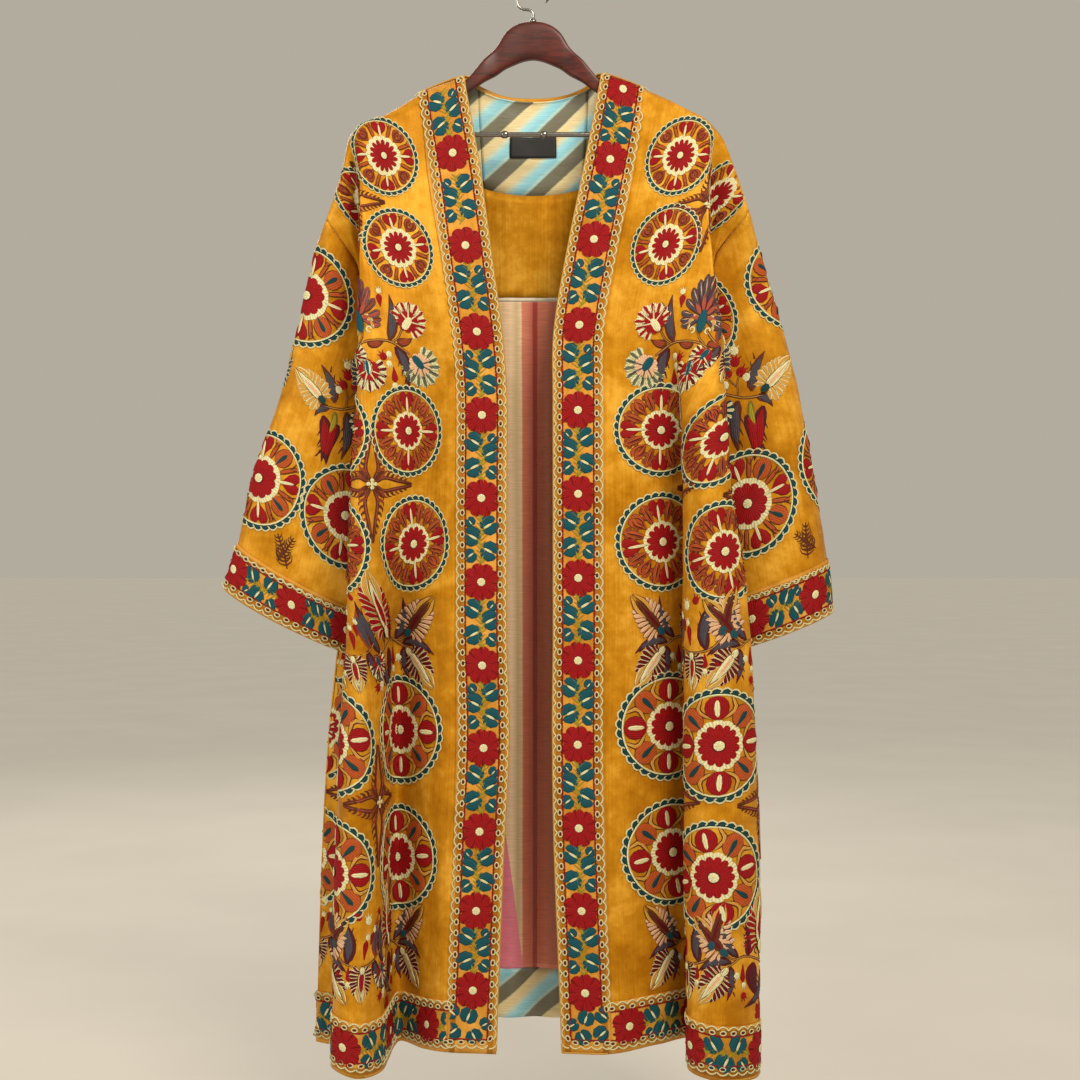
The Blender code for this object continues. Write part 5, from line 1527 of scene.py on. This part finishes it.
def embroider(name, rounds, sprays, hand="", limits=(-999, 999)):
    """Sews a panel's round flowers and sprays; hand "mirrored_" turns them all over."""
    work = Needlework(CHARTS[name], -OUTWARD[name], limits)
    for kind, rows in rounds.items():
        for u, v, wide, high, turn, *low in rows:
            work.lay(MOTIFS[hand + kind], u, v, (wide / ROUND, high / ROUND), turn, low)
    for kind, rows in sprays.items():
        for u, v, size, *turn in rows:
            work.lay(MOTIFS[hand + kind], u, v, size, *turn)
    work.sew("embroidery_" + name, "velvet")


# %% The pattern of the left front
UNDER_BAND = (64, 999)       # mm from the opening: the band covers what lies nearer
embroider("front_left", {
    # kind: u, v, half width, half height and turn of each, and how near the opening it may come
    "shoulder": ((114, 230, 42, 49, 0), (112, 341, 43, 49, 9), (172, 288, 45, 48, 5, 150)),
    "middle": ((126, 558, 46, 54, 0), (114, 688, 46, 57, 12), (224, 560, 53, 55, 6),
               (226, 690, 54, 57, 0), (332, 566, 54, 55, 14), (336, 694, 54, 57, 3)),
    "lower": ((149, 912, 70, 67, 0), (151, 1066, 70, 65, 8), (297, 918, 67, 66, 5),
              (298, 1070, 65, 64, 0), (432, 916, 64, 65, 12), (434, 1072, 64, 64, 4)),
}, {
    # kind: u, v and size of each
    "star": ((170, 620, 1), (281, 628, 0.95), (224, 990, 1.12), (366, 992, 1), (163, 286, 0.86)),
    "upper": ((137, 455, 1),), "upper_grey": ((262, 452, 0.8),),
    "side": ((216, 452, 0.85), (246, 806, 1), (256, 1164, 1), (418, 1160, 0.9), (412, 806, 0.9)),
    "tall": ((153, 802, 1), (322, 800, 0.95), (165, 1166, 0.92), (330, 1166, 0.9)),
}, "", UNDER_BAND)

# %% The pattern of the right front
embroider("front_right", {
    "shoulder": ((114, 230, 42, 49, 0), (118, 337, 42, 50, 14), (198, 276, 40, 48, 4)),
    "middle": ((128, 554, 57, 56, 0), (133, 686, 61, 60, 10), (262, 566, 57, 60, 4),
               (298, 697, 56, 60, 16), (378, 566, 52, 58, 0), (414, 694, 52, 58, 7)),
    "lower": ((145, 906, 71, 66, 0), (150, 1057, 72, 65, 9), (300, 920, 70, 67, 5),
              (304, 1071, 68, 66, 14), (446, 914, 64, 66, 2), (446, 1068, 64, 65, 8)),
}, {
    "star": ((204, 622, 1), (338, 632, 0.95), (226, 986, 1.12), (378, 990, 1), (160, 290, 0.86)),
    "upper": ((300, 455, 0.9),), "upper_grey": ((142, 455, 1),),
    "side": ((222, 452, 0.95), (262, 802, 1.05), (268, 1162, 1), (440, 1160, 0.9), (436, 804, 0.9)),
    "tall": ((160, 800, 1), (340, 800, 0.95), (168, 1164, 0.92), (342, 1164, 0.92)),
}, "mirrored_", UNDER_BAND)

# %% [markdown]
# The back has room for four or five round flowers side by side. Each stands a
# little off its row, as hands that draw freely place it.

# %% The pattern of the back
ROWS_OF_ROUNDS = [
    # kind,     level, radius, columns
    ("shoulder", 262, 49, (-176, -60, 60, 176)), ("shoulder", 366, 49, (-150, -52, 52, 150)),
    ("middle", 566, 55, (-248, -132, 0, 132, 248)), ("middle", 694, 56, (-262, -136, 0, 136, 262)),
    ("lower", 916, 65, (-290, -146, 0, 146, 290)), ("lower", 1068, 64, (-296, -148, 0, 148, 296)),
]
BACK_ROUNDS = {}
for number, (kind, level, radius, columns) in enumerate(ROWS_OF_ROUNDS):
    BACK_ROUNDS.setdefault(kind, []).extend(
        (u + (3 if place % 2 else -2), level + (number + place) % 3 * 2, radius, radius,
         place * 7 + number * 4) for place, u in enumerate(columns))
embroider("back", BACK_ROUNDS, {
    "star": ((-110, 314, 0.7), (0, 318, 0.75), (110, 314, 0.7), (-66, 630, 1), (66, 632, 1),
             (-192, 630, 1), (194, 632, 1), (-74, 992, 1.1), (73, 992, 1.1), (-218, 990, 1.1),
             (220, 994, 1.1)),
    "upper": ((-62, 466, 0.94),), "mirrored_upper": ((178, 466, 0.94),),
    "upper_grey": ((-178, 464, 0.94),), "mirrored_upper_grey": ((60, 466, 0.94),),
    "side": ((0, 452, 0.94), (-300, 806, 0.94), (0, 1158, 0.94)),
    "mirrored_side": ((0, 806, 0.94), (304, 806, 0.94)),
    "tall": ((-68, 812, 0.94), (-196, 808, 0.94), (-78, 1162, 0.94), (-222, 1162, 0.94)),
    "mirrored_tall": ((68, 812, 0.94), (198, 810, 0.94), (80, 1164, 0.94), (224, 1162, 0.94)),
})

# %% [markdown]
# On the sleeves the pattern runs across, so the sprays are turned to lie level
# when the arm hangs down.

# %% The pattern of the sleeves
embroider("sleeve_left", {
    "sleeve": ((8, 466, 62, 61, 0), (16, 690, 61, 60, 12), (130, 690, 58, 62, 5),
               (-118, 468, 60, 60, 8), (-104, 688, 60, 60, 3), (214, 700, 50, 58, 9),
               (-206, 700, 50, 58, 0))}, {
    "arm": ((78, 577, 60 / ROUND, 22), (-60, 578, 60 / ROUND, -22), (-164, 590, 54 / ROUND, -22),
            (168, 592, (50 / ROUND, 54 / ROUND), 22)),
    "fern": ((74, 776, 48 / ROUND, 30), (60, 772, 44 / ROUND, -24), (-44, 776, 48 / ROUND, 14))})
embroider("sleeve_right", {
    "sleeve": ((-22, 456, 61, 60, 4), (104, 690, 64, 63, 8), (-26, 676, 61, 60, 0),
               (104, 462, 50, 58, 6), (-150, 690, 60, 60, 12), (-142, 460, 58, 60, 0),
               (218, 700, 50, 58, 7))}, {
    "arm": ((74, 572, 66 / ROUND, -22), (-84, 574, 62 / ROUND, 22),
            (168, 590, (50 / ROUND, 54 / ROUND), -22), (-188, 590, 54 / ROUND, 22)),
    "fern": ((44, 776, 50 / ROUND, -8), (30, 768, 44 / ROUND, 46), (-88, 776, 48 / ROUND, -10))},
          "mirrored_")

# %% [markdown]
# ### Flowered strips
# Along every band, border and cuff red flowers follow each other, 99 mm apart.
# Five teal leaves and a moss-green stem fill each gap, mirrored from one gap to
# the next.

# %% Motifs of the strips
def band_flower(radius=22.5):
    """A round red flower with shallow lobes, dark slits and a cream eye."""
    m = Motif().blossom(radius, "crimson", 9, 0.13, 1, rise=0.8)
    for number in range(9):
        m.stroke([at(40 * number + 30, radius * share) for share in (0.95, 0.5)], 1.6, "wine", "taper",
                 3, 3, rise=0.5)
    return m.blossom(radius * 0.25, "wine", layer=3).blossom(radius * 0.21, "cream", layer=5)


def heart_leaf(size):
    """Two teal lobes side by side with a pale bar between them; the tip points up."""
    return Motif().draw(size, size, [
        (2, ((0.08, -0.46), (0.34, 0), (0.14, 0.5)), 0.5, "teal", "petal", 0, 5, "deep_teal", 0.8),
        (1, ((0, -0.34), (0, 0.2)), 0.14, "cream", "petal", 4, 4)])


def gap_leaves():
    """Five heart leaves on a feathery moss-green stem, in the gap between two flowers."""
    m = Motif().stroke([(-3, 30), (4, 13), (-4, 0), (4, -13), (-3, -30)], 2.6, "moss", "line", 1, 12)
    for x, y, turn, size in ((9, 17.5, -58, 20.5), (-11, 4, 62, 20.5), (9.5, -13, -118, 20.5),
                             (-13, -18.5, 128, 14.5), (-13, 21, 40, 11)):
        m.add(heart_leaf(size), x, y, turn)
    for number in range(11):
        y, reach = 27 - 5.4 * number, 9.0 if number % 2 else 6.5
        m.draw(reach, 1, [(2, ((0, y), (0.8, y + reach * 0.7)), 1.7, "moss", "taper", 1, 2)])
    return m


BAND_FLOWER, GAP_LEAVES = band_flower(), gap_leaves()
MIRRORED_GAP = Motif().add(GAP_LEAVES, flip=True)

# %% Where the flowers lie along each strip
HALF_GAP = 49.0
STRIP_FLOWERS = {
    # strip: distances along it, in mm
    "band_left": (97, 210, 314, 413, 511, 610, 708, 805, 903, 996, 1089),
    "band_right": (22, 109, 208, 312, 413, 512, 611, 708, 807, 905, 1002, 1098),
    "hem_border_left": (33, 129, 225, 321), "hem_border_right": (22, 120, 218, 316, 414),
    "hem_border_back": (30, 128, 226, 324, 422, 520, 618),
    "cuff_left": (44, 124, 204, 288, 360), "cuff_right": (54, 135, 216, 297),
    "band_neck": (56, 154, 252),
}
CORNER_LEAVES = {
    # strip: (across, along, turn, size) of the leaves in the corner at the foot of a band
    "band_left": ((54, 1115, 50, 17), (34, 1119, -20, 18), (52, 1138, 130, 18), (27, 1143, -150, 17),
                  (14, 1128, -60, 13)),
    "band_right": ((50, 1124, 50, 17), (30, 1128, -20, 17), (48, 1146, 130, 18), (26, 1150, -150, 17),
                   (14, 1136, -60, 13)),
}
for name, places in STRIP_FLOWERS.items():
    here = STRIPS[name]
    middle = here["width"] / 2
    work = Needlework(here["chart"], here["hand"], (9.0, here["width"] - 9.0))
    for number, place in enumerate(places):
        work.lay(BAND_FLOWER, middle, place, turn=number * 17)
        last = number + 1 == len(places)
        after = place + 2 * HALF_GAP if last else places[number + 1]
        if name not in CORNER_LEAVES or not last:
            squeeze = min((after - place) / 2 / HALF_GAP, 1.0)
            leaves = MIRRORED_GAP if number % 2 else GAP_LEAVES
            work.lay(leaves, middle, (place + after) / 2, (1.0, squeeze))
    if name != "band_right":
        work.lay(MIRRORED_GAP, middle, places[0] - HALF_GAP)
    work.limits = (-999, 999)
    for across, along, turn, size in CORNER_LEAVES.get(name, ()):
        work.lay(heart_leaf(size), across, along, 1, turn)
    work.sew("flowers_on_" + name, "trim")

# %% [markdown]
# ### Edging, chain lines and cord
# Every strip is edged on both sides: a dark red line of chain stitch, then cream
# loops with a red dot in each, then a row of little scallops. Hundreds of equal
# stitches follow one path, so Geometry Nodes make them. One tree lays loops, one
# lays beads (the dots, and the links of the chain), one lays arcs and one draws
# a cord. A stitch starts one unit wide and takes its sizes from named inputs.

# %% Trees that sew along a path
SIZES = ("Pitch", "Length", "Width", "Thread")


def sewing_tree(name, sides, shape="", values=None):
    """Sets a shape at every step of a path, standing on the cloth; without one it draws a cord."""
    tree = bpy.data.node_groups.new(name, "GeometryNodeTree")
    for title, kind in (("Path", "Geometry"), *((size, "Float") for size in SIZES), ("Silk", "Material")):
        tree.interface.new_socket(title, in_out="INPUT", socket_type="NodeSocket" + kind)
    tree.interface.new_socket("Work", in_out="OUTPUT", socket_type="NodeSocketGeometry")
    given = node(tree, "NodeGroupInput").outputs
    curve = node(tree, "MeshToCurve", {"Mesh": given["Path"]})
    work = node(tree, "ResampleCurve", {"Curve": curve, "Length": given["Pitch"]}, mode="LENGTH")
    circle = node(tree, "CurvePrimitiveCircle", {"Resolution": max(sides, 3), "Radius": 0.5})
    thread = node(tree, "Transform", {"Geometry": circle, "Scale": given["Thread"]})
    if shape:
        size = node(tree, "ShaderNodeCombineXYZ",
                    {"X": given["Length"], "Y": given["Width"], "Z": given["Thread"]})
        stitch = node(tree, "Transform", {"Geometry": node(tree, shape, values), "Scale": size})
        if sides:
            stitch = node(tree, "CurveToMesh", {"Curve": stitch, "Profile Curve": thread})
        up = node(tree, "InputNamedAttribute", {"Name": "up"}, data_type="FLOAT_VECTOR")
        turn = node(tree, "FunctionNodeAxesToRotation",
                    {"Primary Axis": up, "Secondary Axis": node(tree, "InputTangent")},
                    primary_axis="Z", secondary_axis="X")
        work = node(tree, "InstanceOnPoints", {"Points": work, "Instance": stitch, "Rotation": turn})
    else:
        work = node(tree, "CurveToMesh", {"Curve": work, "Profile Curve": thread})
    real = node(tree, "RealizeInstances", {"Geometry": work})
    dyed = node(tree, "SetMaterial", {"Geometry": real, "Material": given["Silk"]})
    node(tree, "NodeGroupOutput", {"Work": dyed})
    return tree


TREES = {
    # stitch: sides of its thread, and its shape; a bead is solid, and an arc bulges to the left
    "loops": sewing_tree("loops_along", 4, "CurvePrimitiveCircle",
                         {"Resolution": 9, "Radius": 0.5}),
    "beads": sewing_tree("beads_along", 0, "MeshIcoSphere",
                         {"Radius": 0.5, "Subdivisions": 1}),
    "arcs": sewing_tree("arcs_along", 4, "CurveQuadraticBezier",
                        {"Resolution": 6, "Start": (-0.5, 0, 0), "Middle": (0, 2, 0),
                         "End": (0.5, 0, 0)}),
    "cord": sewing_tree("cord_along", 7),
}
print(len(TREES), "trees that sew")


# %% Paths on the strips
def path_on(chart, spots, lift, outward=None):
    """Points and normals along (u, v) spots; outward is where arcs should bulge to."""
    spots = np.array(spots, float)
    travel = travelled(spots)
    even = np.linspace(0, travel[-1], max(2, int(travel[-1] / 3.0)))
    place, up, on = chart.place(*read_at(even, travel, spots).T)
    place, up = (place + up * lift)[on], up[on]
    if outward is not None:
        goal = chart.place(np.array([outward[0]]), np.array([outward[1]]))[0][0]
        middle = len(place) // 2
        run = place[min(middle + 1, len(place) - 1)] - place[middle - 1]
        if np.dot(np.cross(up[middle], run), goal - place[middle]) < 0:
            place, up = place[::-1], up[::-1]
    return place, up


def stitches(tree, paths, sizes, silk):
    """Runs a tree along paths; returns the stitches as one plain mesh."""
    places, ups = (np.concatenate(part) for part in zip(*paths))
    ends = np.cumsum([len(place) for place, _ in paths])
    edges = [(index, index + 1) for index in range(len(places)) if index + 1 not in ends]
    guide = bpy.data.meshes.new("path")
    guide.from_pydata((places * MM).tolist(), edges, [])
    guide.attributes.new("up", "FLOAT_VECTOR", "POINT").data.foreach_set("vector", ups.ravel())
    holder = bpy.data.objects.new("path", guide)
    COLLECTION.objects.link(holder)
    run = holder.modifiers.new("run", "NODES")
    run.node_group = TREES[tree]
    given = {**dict(zip(SIZES, (size * MM for size in sizes))), "Silk": silk}
    for item in TREES[tree].interface.items_tree:
        if item.in_out == "INPUT" and item.name in given:
            run[item.identifier] = given[item.name]
    graph = bpy.context.evaluated_depsgraph_get()
    mesh = bpy.data.meshes.new_from_object(holder.evaluated_get(graph))
    bpy.data.objects.remove(holder, do_unlink=True)
    return mesh


# %% Stitches on every strip
LINE_IN, LOOPS_IN, ARCS_IN = 11.5, 8.0, 4.6   # mm from a strip's edge
HEM_EXTRA = 5.0                               # mm of plain velvet under the hem's scallops
STITCHES = [
    # tree, the rows it follows, pitch, length, width and thread in mm, and dye
    ("beads", "lines", (3.9, 5.4, 2.4, 1.7), "crimson"),
    ("loops", "loops", (12.6, 7.0, 4.8, 1.7), "straw"),
    ("beads", "loops", (12.6, 4.0, 2.6, 1.5), "wine"),
    ("arcs", "arcs", (12.6, 13.0, 3.6, 1.9), "straw"),
    ("cord", "cords", (6.0, 0.0, 0.0, 2.4), "honey"),
]
for name, here in STRIPS.items():
    chart, wide, long = here["chart"], here["width"], here["length"]
    low = HEM_EXTRA if name.startswith("hem") else 0.0
    band = name in ("band_left", "band_right")
    turn_in = long - STRIP_UNIT
    rows = {}
    for inset, row, lift in ((LINE_IN, "lines", 0.45), (LOOPS_IN, "loops", 0.5), (ARCS_IN, "arcs", 0.5)):
        near, far = inset, wide - low - inset
        first, second = [(near, 1), (near, long - 1)], [(far, 1), (far, long - 1)]
        if band:
            foot = long - HEM_EXTRA - inset
            first = [(near, 1), (near, foot), (wide, foot)]
            second = [(far, 1), (far, turn_in + inset), (wide, turn_in + inset)]
        rows[row] = [path_on(chart, first, lift, (0.5, long / 3)),
                     path_on(chart, second, lift, (wide - 0.5, long / 3))]
    edge = wide - 0.6 if not band and name != "band_neck" else 0.6
    rim = [(0.6, 1), (0.6, long - 0.8), (wide, long - 0.8)] if band else [(edge, 1), (edge, long - 1)]
    rows["cords"] = [path_on(chart, rim, 0.1)]
    work = bmesh.new()
    for number, (tree, row, sizes, dye) in enumerate(STITCHES):
        before = len(work.faces)
        work.from_mesh(stitches(tree, rows[row], sizes, THREADS[DYE_NUMBER[dye]]))
        work.faces.ensure_lookup_table()
        for face in work.faces[before:]:
            face.material_index = number
            face.smooth = True
    mesh = bpy.data.meshes.new("edging_on_" + name)
    work.to_mesh(mesh)
    work.free()
    for spare in ("up", "material_index_1"):
        if spare in mesh.attributes:
            mesh.attributes.remove(mesh.attributes[spare])
    piece("edging_on_" + name, mesh, [], [THREADS[DYE_NUMBER[dye]] for *_, dye in STITCHES])
    print("edging_on_" + name, "has", sum(len(face.vertices) - 2 for face in mesh.polygons), "triangles")

# %% [markdown]
# ## What each cloth was cut to
# Whoever hangs or wears this robe again needs each piece of cloth laid flat: its
# width and length, and its area, since few of them are true rectangles. A sleeve
# counts all round, and the thin piping goes with the yoke that it edges. Each
# piece also names what it hangs from or lies on, and the needlework on it.

# %% Every sheet
SHEETS = {}
for side in ("left", "right"):
    SHEETS["velvet_front_" + side] = ("hung", ["mahogany_arms"], ["embroidery_front_" + side])
    SHEETS["velvet_sleeve_" + side] = ("hung", ["velvet_front_" + side, "velvet_back"],
                                       ["embroidery_sleeve_" + side])
SHEETS["velvet_back"] = ("hung", ["mahogany_arms"], ["embroidery_back"])
UNDER = {"band_left": "front_left", "band_right": "front_right", "band_neck": "back",
         "hem_border_left": "front_left", "hem_border_right": "front_right", "hem_border_back": "back",
         "cuff_left": "sleeve_left", "cuff_right": "sleeve_right"}
for name, panel in UNDER.items():
    SHEETS["sewn_" + name] = ("laid", ["velvet_" + panel], ["flowers_on_" + name, "edging_on_" + name])
for name in ("ikat_at_neck", "velvet_yoke", "striped_lining", "ikat_at_hem"):
    SHEETS[name] = ("hung", ["velvet_back"], ["satin_piping"] if name == "velvet_yoke" else [])
SHEETS["plain_label"] = ("laid", ["ikat_at_neck"], [])
for name, (held, rests_on, sewn_on) in SHEETS.items():
    width, length, area = CUTS[name]
    print(name, round(width * 1000), "x", round(length * 1000), "mm,", round(area, 3), "square metres")

# %% [markdown]
# ## Floor, light and camera
# The robe hangs a hand above a plain pale floor that meets a pale sky, so nothing
# draws the eye from the cloth. A soft light stands high in front, as a window
# would, with a weaker one across from it, one behind, and a pale sky all round.

# %% Floor
FLOOR_LEVEL, FLOOR_REACH = -1.42, 30.0


def stand(name, data, place=(0, 0, 0)):
    """Links an object to the scene, at a place."""
    thing = bpy.data.objects.new(name, data)
    thing.location = place
    bpy.context.scene.collection.objects.link(thing)
    return thing


floor_mesh = bpy.data.meshes.new("floor")
floor_mesh.from_pydata([(x * FLOOR_REACH, y * FLOOR_REACH, FLOOR_LEVEL)
                        for x, y in ((-1, -1), (1, -1), (1, 1), (-1, 1))], [], [(0, 1, 2, 3)])
made, tree, shader, where = finish("pale_plaster_floor", "#9C968B", 0.9, Emission_Strength=0.40,
                                   Emission_Color=linear("#E0D8C8"))
speck = node(tree, "TexNoise", {"Vector": where["Object"], "Scale": 3.0})
tone = node(tree, "ValToRGB", {"Fac": speck}, [(0.3, "#989286"), (0.7, "#A09A8E")])
plug(tree, shader, {"Base Color": tone})
floor_mesh.materials.append(made)
stand("floor", floor_mesh)
print("floor at", FLOOR_LEVEL, "m")

# %% Sky, lights and camera
world = bpy.data.worlds.new("pale_room")
bpy.context.scene.world = world
world.use_nodes = True
plug(world.node_tree, world.node_tree.nodes["Background"], {"Color": linear("#E0D8C8"), "Strength": 0.60})
for name, place, aim, width, height, watts, colour in (
        ("window", (0.9, -2.1, 1.25), (0.0, 0.0, -0.55), 1.0, 1.0, 70.0, "#FFF4E4"),
        ("fill", (-2.2, -1.7, 0.1), (0.0, 0.0, -0.7), 1.4, 1.8, 32.0, "#FFF8F0"),
        ("behind", (-0.8, 2.4, 0.9), (0.0, 0.0, -0.6), 1.4, 1.4, 42.0, "#FFFAF2")):
    lamp = bpy.data.lights.new(name, "AREA")
    lamp.shape, lamp.size, lamp.size_y = "RECTANGLE", width, height
    lamp.energy, lamp.color = watts, linear(colour)[:3]
    towards = Vector(aim) - Vector(place)
    stand(name, lamp, place).rotation_euler = towards.to_track_quat("-Z", "Y").to_euler()

camera_data = bpy.data.cameras.new("camera")
camera_data.lens, camera_data.sensor_width = 55.6, 36.0
camera = stand("camera", camera_data, (0.0084, -2.02, -0.684))
camera.rotation_euler = (math.radians(90), 0.0, 0.0)
bpy.context.scene.camera = camera
bpy.context.scene.view_settings.view_transform = "Standard"
print(len(bpy.data.lights), "lights, and a camera with a", round(camera_data.lens, 1), "mm lens")

# %% Every piece evaluated once, and the end
bpy.context.view_layer.update()
graph = bpy.context.evaluated_depsgraph_get()
for thing in COLLECTION.objects:
    mesh = thing.evaluated_get(graph).to_mesh()
    thing.evaluated_get(graph).to_mesh_clear()
